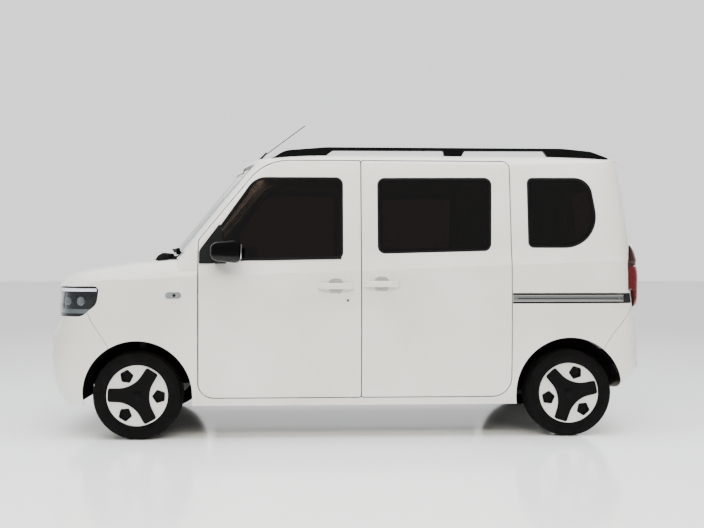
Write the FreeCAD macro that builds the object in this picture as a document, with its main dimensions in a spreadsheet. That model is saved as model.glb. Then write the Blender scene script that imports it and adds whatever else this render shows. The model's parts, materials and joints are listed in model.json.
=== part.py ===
"""A five-door microvan: hollow body split at its real panels, doors, bonnet and tailgate on gooseneck
hinges, steered front knuckles, a rear beam axle and four wheels that turn. Millimetres, front towards -X,
left side towards -Y, the floor at Z = 0, origin under the middle of the overall length."""

import FreeCAD, Part
import math
import os
import re
import Sketcher
from FreeCAD import Placement, Rotation, Vector

doc = FreeCAD.newDocument("microvan")
sheet = doc.addObject("Spreadsheet::Sheet", "Sizes")

# Driving dimensions: a name, a size and what it sets.
SIZES = (
    ("overall_length", 3685.0, "over both bumpers"),
    ("body_width", 1530.0, "over the doors, without mirrors"),
    ("roof_height", 1738.0, "crown of the roof"),
    ("wheelbase", 2600.0, "front axle to rear axle"),
    ("front_overhang", 597.5, "nose to front axle"),
    ("track", 1310.0, "between wheel centre planes"),
    ("sill_height", 200.0, "bottom of the body above the floor"),
    ("shoulder_height", 1004.0, "crease under the windows, above the origin"),
    ("belt_slope", 0.038, "rise of the crease towards the rear"),
    ("screen_base_x", -1155.0, "foot of the windscreen on the centre line"),
    ("screen_base_height", 1080.0, "height of that foot"),
    ("screen_slope", 1.22, "rise over run of the windscreen"),
    ("screen_bow", 120.0, "sweep of the windscreen in plan"),
    ("panel_gap", 6.0, "shut line round what opens"),
    ("seam_gap", 3.0, "seam between fixed panels"),
    ("lift_gap", 9.0, "shut line behind the bonnet, wide enough for its rear edge to rise"),
    ("seat_clearance", 0.3, "between a piece and what carries it"),
    ("lamp_depth", 40.0, "lamp bodies"),
    ("steer_gap", 6.0, "between the knuckle and the lugs that hold it"),
    ("skin", 8.0, "wings, bonnet and bumpers"),
    ("door_thickness", 60.0, "front and sliding doors, tailgate"),
    ("frame_depth", 105.0, "skin to the inside of the side frame"),
    ("roof_thickness", 22.0, "roof skin with its lining"),
    ("glass_set", 5.0, "glass below the skin"),
    ("glass_thickness", 5.0, "window panes"),
    ("glass_edge", 12.0, "rebate that a pane lies in"),
    ("opening_lip", 34.0, "rebate that each door closes on"),
    ("door_front_x", -885.0, "shut line in front of the front door"),
    ("door_middle_x", 90.0, "shut line between the doors"),
    ("door_rear_x", 998.0, "shut line behind the sliding door"),
    ("door_bottom", 250.0, "lower edge of the doors"),
    ("door_top", 1674.0, "upper edge of the doors"),
    ("window_top", 1573.0, "upper edge of the side windows"),
    ("window_bottom", 1090.0, "lower edge of the side windows above the origin"),
    ("arch_radius", 327.0, "wheel arches"),
    ("rear_arch_lift", 12.0, "rear arch above its axle"),
    ("liner", 6.0, "wheelhouse sheet"),
    ("tyre_radius", 264.0, "tyre outside"),
    ("tyre_width", 155.0, "tyre section"),
    ("rim_radius", 165.0, "bead seat"),
    ("flange_radius", 181.0, "rim flange and wheel trim"),
    ("rim_width", 118.0, "over the flanges"),
    ("stub_radius", 15.0, "stub axle in the hub"),
    ("kingpin_inset", 60.0, "steering axis inboard of the wheel's centre plane"),
    ("hinge_back", 30.0, "hinge pin beyond the shut line"),
    ("hinge_depth", 18.0, "hinge pin below the skin"),
    ("hinge_reach", 34.0, "gooseneck leg below the pin"),
    ("hinge_pin", 5.0, "radius of a hinge pin"),
    ("hinge_eye", 9.0, "radius of a hinge eye"),
    ("hinge_strap", 7.0, "thickness of a gooseneck"),
    ("hinge_height", 40.0, "width of a gooseneck"),
    ("handle_width", 35.0, "height of a door handle"),
    ("handle_round", 4.0, "rounding of a door handle's edges"),
    ("cup_radius", 49.0, "finger hollow behind a handle, at the skin"),
    ("cup_depth", 22.0, "depth of that hollow"),
    ("star_reach", 176.0, "arms of the wheel cover's star from the hub"),
    ("star_rise", 3.0, "star above the wheel cover"),
    ("pocket_circle", 130.0, "circle that the cover's pockets lie on"),
    ("pocket_radius", 41.0, "corners of a pocket from its middle"),
    ("pocket_depth", 12.0, "depth of a pocket"),
    ("door_swing", 65.0, "degrees that the front doors open"),
    ("gate_swing", 80.0, "degrees that the tailgate opens"),
    ("swing_step", 4.0, "degrees between the turns of a door in the room cut for it"),
    ("swing_room", 1.0, "added to the shut line behind the front door"),
    ("lamp_low", 738.0, "lower edge of the headlamps"),
    ("lamp_high", 912.0, "upper edge of the headlamps"),
    ("bumper_high", 905.0, "upper edge of the front bumper"),
    ("rear_bumper_high", 784.0, "upper edge of the rear bumper"),
    ("rear_split_x", 1560.0, "front edge of the rear bumper"),
    ("tail_lamp_high", 1165.0, "top of the tail lamps"),
    ("slide_low", 810.0, "lower edge of the slide rail's slot"),
    ("slide_high", 872.0, "upper edge of that slot"),
    ("slide_end_x", 1738.0, "rear end of that slot"),
    ("slide_margin", 16.0, "slide rail inside the slot's edges"),
    ("gate_low", 560.0, "lower edge of the tailgate"),
    ("intake_width", 860.0, "grille opening in the front bumper"),
    ("intake_low", 330.0, "lower edge of that opening"),
    ("intake_high", 400.0, "upper edge of that opening"),
    ("bonnet_hem", 25.0, "bonnet's rear corners behind the foot of the windscreen"),
    ("overrun", 60.0, "how far a cutting tool passes the piece"),
)
for row, (alias, number, note) in enumerate(SIZES, 1):
    sheet.set("A%d" % row, note)
    sheet.set("B%d" % row, repr(number))
    sheet.setAlias("B%d" % row, alias)
doc.recompute()

DERIVED = (
    ("half_width", "=body_width / 2"),
    ("nose_x", "=-overall_length / 2"),
    ("tail_x", "=overall_length / 2"),
    ("front_axle_x", "=front_overhang - overall_length / 2"),
    ("rear_axle_x", "=front_overhang - overall_length / 2 + wheelbase"),
    ("wheel_y", "=track / 2"),
    ("kingpin_y", "=track / 2 - kingpin_inset"),
)
for row, (alias, formula) in enumerate(DERIVED, len(SIZES) + 2):
    sheet.set("B%d" % row, formula)
    sheet.setAlias("B%d" % row, alias)
doc.recompute()


def size(alias):
    return float(sheet.get(alias))


half_width = size("body_width") / 2
nose_x = -size("overall_length") / 2
tail_x = size("overall_length") / 2
front_axle_x = nose_x + size("front_overhang")
rear_axle_x = front_axle_x + size("wheelbase")
rear_overhang = tail_x - rear_axle_x
front_overhang = size("front_overhang")
sill = size("sill_height")
shoulder = size("shoulder_height")
roof = size("roof_height")
skin = size("skin")
gap = size("panel_gap")
seam = size("seam_gap")
lift = size("lift_gap")
handle_width = size("handle_width")
cup_radius = size("cup_radius")
cup_depth = size("cup_depth")
clearance = size("seat_clearance")
overrun = size("overrun")
screen_x = size("screen_base_x")
screen_z = size("screen_base_height")
slope = size("screen_slope")
wheel_y = size("track") / 2
axle_z = size("tyre_radius")

# Body contours as shares: height between sill and shoulder, half width, setback of nose and of tail.
lower_shares = (
    (0.0, 0.935, 0.134, 0.48), (0.075, 0.966, 0.075, 0.31), (0.16, 0.979, 0.03, 0.11),
    (0.22, 0.983, 0.014, 0.02), (0.30, 0.989, 0.003, 0.0), (0.36, 0.992, 0.0, 0.0),
    (0.50, 0.998, 0.004, 0.003), (0.62, 1.0, 0.040, 0.03), (0.68, 1.0, 0.070, 0.050),
    (0.75, 1.0, 0.077, 0.075), (0.87, 0.9995, 0.080, 0.085), (1.0, 0.996, 0.10, 0.09),
)
# The same between the shoulder and the roof.
upper_shares = (
    (0.0, 0.996, 0.10, 0.09), (0.035, 0.990, 0.105, 0.092), (0.117, 0.974, 0.13, 0.097),
    (0.266, 0.958, 0.15, 0.115), (0.40, 0.944, 0.17, 0.14), (0.60, 0.922, 0.20, 0.18),
    (0.81, 0.897, 0.23, 0.235), (0.91, 0.880, 0.25, 0.28), (1.0, 0.862, 0.27, 0.34),
)
# Middle of the bonnet: distance behind the nose as a share, height as a share of the screen's foot.
bonnet_shares = (
    (0.0, 0.80), (0.045, 0.850), (0.10, 0.884), (0.15, 0.909), (0.215, 0.931), (0.404, 0.958),
    (0.64, 0.980), (0.80, 0.992), (1.0, 1.004), (1.4, 1.012),
)


def smooth(table, column, at):
    """Monotone cubic through a table's first column and one other, so that no contour overshoots."""
    xs = [r[0] for r in table]
    ys = [r[column] for r in table]
    n = len(xs)
    steps = [(ys[i + 1] - ys[i]) / (xs[i + 1] - xs[i]) for i in range(n - 1)]
    slopes = [steps[0]] + [0.0] * (n - 2) + [steps[-1]]
    for i in range(1, n - 1):
        if steps[i - 1] * steps[i] > 0:
            slopes[i] = 2 * steps[i - 1] * steps[i] / (steps[i - 1] + steps[i])
    at = min(max(at, xs[0]), xs[-1])
    i = max(k for k in range(n - 1) if xs[k] <= at)
    width = xs[i + 1] - xs[i]
    s = (at - xs[i]) / width
    return (
        ys[i] * (1 + 2 * s) * (1 - s) ** 2 + ys[i + 1] * s * s * (3 - 2 * s)
        + width * slopes[i] * s * (1 - s) ** 2 - width * slopes[i + 1] * s * s * (1 - s)
    )


def tangent_curve(start, start_way, end, end_way, hold, height):
    """Bezier edge between two plan points that leaves and arrives in the given directions."""
    chord = (end - start).Length
    poles = (
        start, start + Vector(*start_way, 0).normalize() * chord * hold,
        end - Vector(*end_way, 0).normalize() * chord * hold, end,
    )
    curve = Part.BezierCurve()
    curve.setPoles([Vector(p.x, p.y, height(p.x)) for p in poles])
    return curve.toShape()


def contour(stations, height, closed=True):
    """Mirror-symmetric outline through plan stations (x, y, way x, way y, hold)."""
    right = [(x, -y, -a, b, hold) for x, y, a, b, hold in reversed(stations)]
    holds = [s[4] for s in stations[:-1]]
    halves = []
    for run, run_holds in ((stations, holds), (right, holds[::-1])):
        halves.append([tangent_curve(
            Vector(one[0], one[1], 0), one[2:4], Vector(two[0], two[1], 0), two[2:4], hold, height)
            for one, two, hold in zip(run, run[1:], run_holds)])
    if not closed:
        end_x, end_y = stations[-1][:2]
        ends = [Vector(end_x, side * end_y, height(end_x)) for side in (1, -1)]
        halves.insert(1, [Part.makeLine(*ends)])
    return Part.Wire(sum(halves, []))


def level(share, upper):
    """Height function of a contour: level at the sill and roof, sloping with the shoulder between."""
    low, high = (shoulder, roof) if upper else (sill, shoulder)
    base = low + share * (high - low)
    tilt = size("belt_slope") * ((1 - share) if upper else share)
    return lambda x: base + tilt * x


def side_stations(half, start_x, tail, inset):
    """Plan stations down the side and round the tail that the cabin and the nose share."""
    corner_y = 0.73 * half_width
    return [
        (start_x, half - 0.012 * half_width - inset, 1, 0.03, 0.34),
        (0.04 * tail_x, half - inset, 1, 0, 0.34),
        (tail - 0.34 * rear_overhang, half - 0.014 * half_width - inset, 1, -0.05, 0.44),
        (tail - 0.04 * rear_overhang - inset, corner_y, 0.08, -1, 0.34),
        (tail - inset, 0, 0, -1, 0.34),
    ]


def cabin_contour(share, upper, inset):
    table = upper_shares if upper else lower_shares
    height = level(share, upper)
    half = half_width * smooth(table, 1, share)
    tail = tail_x - rear_overhang * smooth(table, 3, share)
    foot = max(height(screen_x), shoulder)
    front = screen_x + (foot - screen_z) / slope + inset * 1.25
    bow_y = 0.73 * half_width
    bow = size("screen_bow")
    stations = [
        (front, 0, 0, 1, 0.34),
        (front + bow, bow_y, 2 * bow / bow_y, 1, 0.40),
    ] + side_stations(half, front + 1.9 * bow, tail, inset)
    return contour(stations, height)


def nose_contour(share, upper, inset):
    table = upper_shares if upper else lower_shares
    height = level(share, upper)
    half = half_width * smooth(table, 1, share)
    front = nose_x + front_overhang * smooth(table, 2, share) + inset
    wing_x = nose_x + 0.50 * front_overhang
    side = side_stations(half, screen_x - 0.1 * front_overhang, tail_x, inset)[:2]
    stations = [
        (front, 0, 0, 1, 0.34),
        (front + 0.064 * front_overhang, 0.63 * half_width, 0.17, 1, 0.42),
        (wing_x, half - 0.05 * half_width - inset, 1, 0.12, 0.34),
    ] + side
    return contour(stations, height, closed=False)


def stacked(contours):
    solid = Part.makeLoft(contours, True, False)
    return solid if solid.Volume > 0 else solid.reversed()


def lid(height_at, x_range, y_reach, drop, thickness):
    """Solid above a crowned surface, dropped by a thickness, that trims the top of a body."""
    columns, rows = 26, 25
    x_first, x_last = x_range
    grid = []
    for i in range(columns):
        share = i / (columns - 1)
        x = x_first + (x_last - x_first) * share
        line = []
        for j in range(rows):
            y = -y_reach * math.cos(math.pi * j / (rows - 1))
            line.append(Vector(x, y, height_at(x, y) - drop))
        grid.append(line)
    surface = Part.BSplineSurface()
    surface.interpolate(grid)
    return surface.toShape().extrude(Vector(0, 0, thickness))


def roof_surface(x, y):
    edge = 0.889 * half_width
    front_share = max(0.0, x / (screen_x + (roof - screen_z) / slope))
    rear_share = max(0.0, (x - 0.5 * tail_x) / (0.45 * tail_x))
    return (
        roof - 0.027 * roof * front_share ** 3 - 0.014 * roof * rear_share ** 3
        - 0.012 * roof * (y / edge) ** 2 - 0.035 * roof * (abs(y) / edge) ** 20
    )


def bonnet_surface(x, y):
    reach = screen_x - nose_x
    bow = 0.05 * reach * (y / (0.63 * half_width)) ** 2 + 0.09 * reach * (abs(y) / (0.85 * half_width)) ** 8
    behind = (x - nose_x - bow) / reach
    middle = screen_z * smooth(bonnet_shares, 1, behind)
    if behind < 0:
        middle += behind * screen_z
    return middle - 0.010 * screen_z * (y / (0.85 * half_width)) ** 2 \
        - 0.055 * screen_z * (abs(y) / (0.975 * half_width)) ** 24


def lower_levels(count=14):
    return [i / (count - 1) for i in range(count)]


def cabin_solid(inset, roof_drop):
    """Cabin volume inside an inset, under the roof lowered by roof_drop."""
    low = stacked([cabin_contour(s, False, inset) for s in lower_levels()])
    high = stacked([cabin_contour(s, True, inset) for s in lower_levels(12)])
    screen_top = screen_x + (roof - screen_z) / slope
    top = lid(roof_surface, (screen_top - overrun, tail_x + overrun), 0.915 * half_width, roof_drop, overrun * 5)
    return low.fuse(high.cut(top)).removeSplitter()


def nose_solid(inset):
    """Volume of the front end inside an inset, behind its nose and ahead of the front doors."""
    low = stacked([nose_contour(s, False, inset) for s in lower_levels()])
    high = stacked([nose_contour(0.26 * s / 4, True, inset) for s in range(5)])
    top = lid(bonnet_surface, (nose_x - overrun, screen_x + 6 * overrun), half_width + overrun / 4, inset, overrun * 6)
    whole = low.fuse(high).removeSplitter().cut(top)
    back = Part.makeBox(tail_x * 2, half_width * 4, roof * 2,
                        Vector(size("door_front_x") - gap / 2, -half_width * 2, -overrun))
    return whole.cut(back)


def feature(name, shape):
    """Document object that holds a shape made in code."""
    item = doc.addObject("Part::Feature", name)
    item.Shape = shape
    return item


def rounded_wire(corners, place):
    """Closed wire with rounded corners (a, b, radius); place turns a and b into a point."""
    n = len(corners)
    ends = []
    for i, (a, b, radius) in enumerate(corners):
        here = Vector(a, b, 0)
        before = (Vector(*corners[i - 1][:2], 0) - here).normalize()
        after = (Vector(*corners[(i + 1) % n][:2], 0) - here).normalize()
        half = before.getAngle(after) / 2
        reach = radius / math.tan(half)
        middle = here + (before + after).normalize() * (radius / math.sin(half) - radius)
        ends.append((here + before * reach, middle, here + after * reach))
    edges = []
    for i, (start, middle, end) in enumerate(ends):
        edges.append(Part.Arc(place(start), place(middle), place(end)).toShape())
        edges.append(Part.makeLine(place(end), place(ends[(i + 1) % n][0])))
    return Part.Wire(edges)


def side_prism(corners, grow=0.0, inner=0.0):
    """Prism across the left half through a side view outline, grown by an offset."""
    wire = rounded_wire(corners, lambda p: Vector(p.x, -half_width - overrun, p.y))
    if grow:
        wire = wire.makeOffset2D(grow)
    return Part.Face(wire).extrude(Vector(0, half_width + overrun - inner, 0))


def rear_prism(corners, from_x, grow=0.0):
    """Prism towards the rear through a back view outline."""
    wire = rounded_wire(corners, lambda p: Vector(from_x, p.x, p.y))
    if grow:
        wire = wire.makeOffset2D(grow)
    return Part.Face(wire).extrude(Vector(tail_x + overrun - from_x, 0, 0))


def plan_prism(corners, low, high):
    """Upright prism through a plan outline."""
    wire = rounded_wire(corners, lambda p: Vector(p.x, p.y, low))
    return Part.Face(wire).extrude(Vector(0, 0, high - low))


def slab(low, high):
    """Box between two corners."""
    return Part.makeBox(high[0] - low[0], high[1] - low[1], high[2] - low[2], Vector(*low))


def rod_y(x, z, radius, y_low, y_high):
    return Part.makeCylinder(radius, y_high - y_low, Vector(x, y_low, z), Vector(0, 1, 0))


def mirror_of(shape):
    return shape.mirror(Vector(0, 0, 0), Vector(0, 1, 0))



def evaluate(formula):
    """Number that a sheet formula gives now."""
    return float(sheet.evalExpression(formula))


def bind(item, path, formula):
    item.setExpression(path, "Sizes." + formula if formula in ALIASES else ALIAS_WORDS.sub(r"Sizes.\1", formula))


ALIASES = tuple(row[0] for row in SIZES) + tuple(row[0] for row in DERIVED)
ALIAS_WORDS = re.compile(r"\b(%s)\b" % "|".join(sorted(ALIASES, key=len, reverse=True)))


def block(name, low, high):
    """Box bound to the sheet between two corners given as formulas."""
    item = doc.addObject("Part::Box", name)
    for side, first, last in zip(("Length", "Width", "Height"), low, high):
        bind(item, side, "(%s) - (%s)" % (last, first))
    for axis, first in zip("xyz", low):
        bind(item, "Placement.Base." + axis, "(%s) * 1" % first)
    return item


def fused(name, pieces):
    item = doc.addObject("Part::MultiFuse", name)
    item.Shapes = pieces
    item.Refine = True
    return item


def profile(body, name, plane, corners):
    """Fully constrained closed sketch through corners given as pairs of formulas."""
    sketch = body.newObject("Sketcher::SketchObject", name)
    origin = [item for item in body.Origin.OriginFeatures if item.Role == plane][0]
    sketch.AttachmentSupport = [(origin, "")]
    sketch.MapMode = "FlatFace"
    spots = [Vector(evaluate(a), evaluate(b), 0) for a, b in corners]
    count = len(spots)
    for i in range(count):
        sketch.addGeometry(Part.LineSegment(spots[i], spots[(i + 1) % count]), False)
    for i in range(count):
        sketch.addConstraint(Sketcher.Constraint("Coincident", i, 2, (i + 1) % count, 1))
    for i, (a, b) in enumerate(corners):
        for kind, formula, value in (("DistanceX", a, spots[i].x), ("DistanceY", b, spots[i].y)):
            place = sketch.addConstraint(Sketcher.Constraint(kind, -1, 1, i, 1, value))
            bind(sketch, "Constraints[%d]" % place, "(%s) * 1" % formula)
    return sketch


def turned(name, corners):
    """Body of revolution about its own Y axis through corners (radius, width)."""
    body = doc.addObject("PartDesign::Body", name)
    sketch = profile(body, name + "_profile", "XY_Plane", corners)
    spin = body.newObject("PartDesign::Revolution", name + "_turn")
    spin.Profile = sketch
    spin.ReferenceAxis = (sketch, ["V_Axis"])
    spin.Angle = 360.0
    return body


def padded(name, corners, low, high):
    """Side view outline (x, z) carried across the car between two widths given as formulas."""
    body = doc.addObject("PartDesign::Body", name)
    sketch = profile(body, name + "_profile", "XZ_Plane", corners)
    pad = body.newObject("PartDesign::Pad", name + "_pad")
    pad.Profile = sketch
    bind(pad, "Length", "(%s) - (%s)" % (high, low))
    pad.Reversed = True
    body.Placement = Placement(Vector(0, evaluate(low), 0), Rotation())
    return body


def hinge_box(frame_of, low, high):
    """Box in the hinge's own directions: u to the moving panel, v outwards, w along the pin."""
    pin, u, v, w = frame_of
    spots = [pin + u * a + v * b + w * low[2]
             for a, b in ((low[0], low[1]), (high[0], low[1]), (high[0], high[1]), (low[0], high[1]))]
    return Part.Face(Part.makePolygon(spots + spots[:1])).extrude(w * (high[2] - low[2]))


def hinge_round(frame_of, radius, low, high):
    pin, u, v, w = frame_of
    return Part.makeCylinder(radius, high - low, pin + w * low, w)


def gooseneck(frame_of, depth):
    """Strap of a moving panel: an eye on the pin, a leg below it and a foot under the shut line."""
    half = size("hinge_height") / 2
    strap = size("hinge_strap") / 2
    reach = size("hinge_reach")
    eye = hinge_round(frame_of, size("hinge_eye"), -half, half)
    leg = hinge_box(frame_of, (-strap, -reach - strap, -half), (strap, 0.0, half))
    foot = hinge_box(frame_of, (-strap, -reach - strap, -half), (depth, -reach + strap, half))
    hole = hinge_round(frame_of, size("hinge_pin") + clearance, -half - gap, half + gap)
    return eye.fuse([leg, foot]).cut(hole)


def hinge_lugs(frame_of, back):
    """Pin and its two fixed lugs, rooted behind the pin by the length back."""
    half = size("hinge_height") / 2
    lug = size("hinge_strap")
    eye = size("hinge_eye")
    pieces = [hinge_round(frame_of, size("hinge_pin"), -half - lug - clearance, half + lug + clearance)]
    for low, high in ((-half - lug - clearance, -half - clearance), (half + clearance, half + lug + clearance)):
        pieces.append(hinge_round(frame_of, eye, low, high))
        pieces.append(hinge_box(frame_of, (-eye, -back, low), (eye, 0.0, high)))
    return pieces[0].fuse(pieces[1:])


def hinge_pocket(frame_of, ahead, depth):
    """Room that a gooseneck swings in."""
    half = size("hinge_height") / 2 + gap
    eye = size("hinge_eye") + gap
    return hinge_box(frame_of, (-eye, -depth, -half), (ahead, eye, half))


# Body envelopes, each one set in from the skin.
roof_drop = size("roof_thickness")
set_in = size("glass_set")
set_back = set_in + size("glass_thickness")
skin_body = cabin_solid(0.0, 0.0)
glass_front = cabin_solid(set_in, set_in)
glass_bed = cabin_solid(set_in - clearance, set_in - clearance)
glass_back = cabin_solid(set_back, set_back)
lamp_back = cabin_solid(size("lamp_depth"), roof_drop)
door_back = cabin_solid(size("door_thickness"), roof_drop)
rebate_back = cabin_solid(size("door_thickness") + gap, roof_drop)
frame_back = cabin_solid(size("frame_depth"), roof_drop)
inside = cabin_solid(size("frame_depth") + clearance, roof_drop + clearance)
nose_skin = nose_solid(0.0)
nose_back = nose_solid(skin)
nose_bed = nose_solid(skin + clearance)
nose_lamp = nose_solid(size("lamp_depth"))
nose_shell = nose_skin.cut(nose_back)
wall = skin_body.cut(frame_back)
door_wall = skin_body.cut(door_back)
rebate_shell = skin_body.cut(rebate_back)
pane_shell = glass_front.cut(glass_back)

front_x = size("door_front_x")
middle_x = size("door_middle_x")
rear_x = size("door_rear_x")
lip = size("opening_lip")
low_z = size("door_bottom")
high_z = size("door_top")
pane_top = size("window_top")
pane_low = size("window_bottom")
edge = size("glass_edge")
swing_room = size("swing_room")
lamp_low = size("lamp_low")
lamp_high = size("lamp_high")
bumper_high = size("bumper_high")
rear_bumper_high = size("rear_bumper_high")
rear_split_x = size("rear_split_x")
tail_lamp_high = size("tail_lamp_high")
slide_low = size("slide_low")
slide_high = size("slide_high")
slide_end_x = size("slide_end_x")
slide_margin = size("slide_margin")
gate_low = size("gate_low")
bonnet_hem = size("bonnet_hem")
outboard = half_width + overrun
beyond = roof + overrun

# Outlines in side view as (x, z, corner radius), in shares of half the length and of the roof's height.
door_round = 0.006 * roof
front_edge = middle_x - gap / 2 - swing_room
front_door = (
    (front_x + gap / 2, low_z, 0.052 * roof), (front_x + gap / 2, pane_low + 0.0575 * roof, 0.035 * roof),
    (-0.2643 * tail_x, high_z, 0.173 * roof), (front_edge, high_z, door_round), (front_edge, low_z, door_round),
)
sliding_door = (
    (middle_x + gap / 2, low_z, door_round), (middle_x + gap / 2, high_z, door_round),
    (rear_x - gap / 2, high_z, 0.026 * roof), (rear_x - gap / 2, low_z, 0.066 * roof),
)
pane_round = 0.026 * roof
front_window = (
    (-0.468 * tail_x, 0.609 * roof, door_round), (-0.468 * tail_x, 0.647 * roof, 0.035 * roof),
    (-0.2974 * tail_x, pane_top, 0.075 * roof), (-0.0103 * tail_x, pane_top, pane_round),
    (-0.0103 * tail_x, 0.623 * roof, 0.02 * roof),
)
sliding_window = (
    (0.102 * tail_x, 0.6375 * roof, pane_round), (0.102 * tail_x, 0.9033 * roof, pane_round),
    (0.4815 * tail_x, 0.9057 * roof, pane_round), (0.475 * tail_x, 0.648 * roof, pane_round),
)
quarter_window = (
    (0.5976 * tail_x, 0.6588 * roof, 0.02 * roof), (0.5987 * tail_x, 0.9062 * roof, 0.02 * roof),
    (0.8114 * tail_x, 0.9074 * roof, 0.063 * roof), (0.8467 * tail_x, 0.6588 * roof, 0.115 * roof),
)
headlamp_outline = (
    (nose_x - overrun, lamp_low, door_round), (nose_x - overrun, lamp_high, door_round),
    (-0.7978 * tail_x, lamp_high, 0.014 * roof), (-0.8054 * tail_x, 0.467 * roof, 0.035 * roof),
    (-0.8521 * tail_x, lamp_low, 0.052 * roof),
)
bumper_round = 0.003 * roof
front_bumper_outline = (
    (nose_x - overrun, sill - overrun, bumper_round), (nose_x - overrun, bumper_high, bumper_round),
    (-0.8684 * tail_x, bumper_high, bumper_round), (-0.8233 * tail_x, 0.407 * roof, bumper_round),
    (-0.769 * tail_x, 0.3205 * roof, bumper_round), (-0.7544 * tail_x, sill - overrun, bumper_round),
)
rear_bumper_outline = (
    (rear_split_x, sill - overrun, seam), (rear_split_x, 0.305 * roof, seam), (0.8684 * tail_x, 0.345 * roof, seam),
    (0.9471 * tail_x, rear_bumper_high, seam), (tail_x + overrun, rear_bumper_high, seam),
    (tail_x + overrun, sill - overrun, seam),
)
tail_lamp_low = rear_bumper_high + seam + clearance
lamp_round = 0.0045 * roof
tail_lamp_outline = (
    (0.9509 * tail_x, tail_lamp_low, lamp_round), (0.9471 * tail_x, 0.51 * roof, lamp_round / 2),
    (0.9351 * tail_x, 0.512 * roof, lamp_round / 2), (0.9351 * tail_x, 0.604 * roof, 0.115 * roof),
    (0.9487 * tail_x, tail_lamp_high, lamp_round), (tail_x + overrun, tail_lamp_high, lamp_round),
    (tail_x + overrun, tail_lamp_low, lamp_round),
)
slot_start = rear_x + seam + clearance
slide_slot = (
    (slot_start, slide_low, seam), (slot_start, slide_high, seam), (slide_end_x, slide_high, 3 * seam),
    (slide_end_x, slide_low, 3 * seam),
)
strip_start, strip_end = slot_start + gap, slide_end_x - gap
strip_low, strip_high = slide_low + slide_margin, slide_high - slide_margin
slide_strip = (
    (strip_start, strip_low, seam), (strip_start, strip_high, seam), (strip_end, strip_high, seam),
    (strip_end, strip_low, seam),
)
# Outlines in back or front view as (y, z, corner radius).
intake_y, intake_round = size("intake_width") / 2, 0.4 * (size("intake_high") - size("intake_low"))
intake_outline = (
    (-intake_y, size("intake_low"), intake_round), (-0.94 * intake_y, size("intake_high"), intake_round),
    (0.94 * intake_y, size("intake_high"), intake_round), (intake_y, size("intake_low"), intake_round),
)
gate_y = 0.785 * half_width
tailgate_outline = (
    (-gate_y, gate_low, 0.035 * roof), (-gate_y, beyond, 0.017 * roof), (gate_y, beyond, 0.017 * roof),
    (gate_y, gate_low, 0.035 * roof),
)
gate_pane_y, screen_pane_y = 0.654 * half_width, 0.745 * half_width
tailgate_window = (
    (-gate_pane_y, 0.65 * roof, 0.035 * roof), (-0.94 * gate_pane_y, 0.915 * roof, 0.035 * roof),
    (0.94 * gate_pane_y, 0.915 * roof, 0.035 * roof), (gate_pane_y, 0.65 * roof, 0.035 * roof),
)
screen_window = (
    (-screen_pane_y, 0.6318 * roof, 0.029 * roof), (-0.956 * screen_pane_y, 0.9333 * roof, 0.029 * roof),
    (0.956 * screen_pane_y, 0.9333 * roof, 0.029 * roof), (screen_pane_y, 0.6318 * roof, 0.029 * roof),
)
gate_x = tail_x - 0.36 * rear_overhang
roof_y = 0.74 * half_width
bonnet_y = 0.83 * half_width
bonnet_front = 0.838 * screen_z
# Bonnet outline in plan as (x, y, corner radius).
bonnet_back_x = screen_x + bonnet_hem
bonnet_outline = (
    (nose_x - overrun, -bonnet_y, door_round), (bonnet_back_x, -bonnet_y, 2 * door_round),
    (1.084 * bonnet_back_x, -0.52 * bonnet_y, 0.217 * tail_x), (1.084 * bonnet_back_x, 0.52 * bonnet_y, 0.217 * tail_x),
    (bonnet_back_x, bonnet_y, 2 * door_round), (nose_x - overrun, bonnet_y, door_round),
)


def front_prism(corners, grow=0.0):
    """Prism through the windscreen from a front view outline."""
    wire = rounded_wire(corners, lambda p: Vector(screen_x - 2 * overrun, p.x, p.y))
    if grow:
        wire = wire.makeOffset2D(grow)
    return Part.Face(wire).extrude(Vector(12 * overrun, 0, 0))


def full(prism_of, *details):
    """Side view prism carried across both halves."""
    one = side_prism(*details)
    return one.fuse(one.mirror(Vector(0, 0, 0), Vector(0, 1, 0))).removeSplitter()


def swing_room_of(neighbour, low, high, pin, way, degrees):
    """Room in a panel that its neighbour's edge passes through: the neighbour's end section, between two corners,
    moved to the panel's own edge and turned about the panel's pin."""
    end_x = high[0]
    block = neighbour.common(slab(low, high))
    ends = [face for face in block.Faces
            if face.BoundBox.XLength < clearance and abs(face.CenterOfMass.x - end_x) < clearance]
    rooms = []
    for face in ends:
        face.translate(Vector(gap, 0, 0))
        rooms.append(face.revolve(pin, way, degrees))
    return rooms[0].fuse(rooms[1:]) if rooms[1:] else rooms[0]


arch = size("arch_radius")
liner = size("liner")
rear_arch_z = axle_z + size("rear_arch_lift")
front_arch = rod_y(front_axle_x, axle_z, arch, -outboard, outboard)
rear_arch = rod_y(rear_axle_x, rear_arch_z, arch, -outboard, outboard)
front_liner_room = rod_y(front_axle_x, axle_z, arch + liner + seam, -outboard, outboard)

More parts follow.
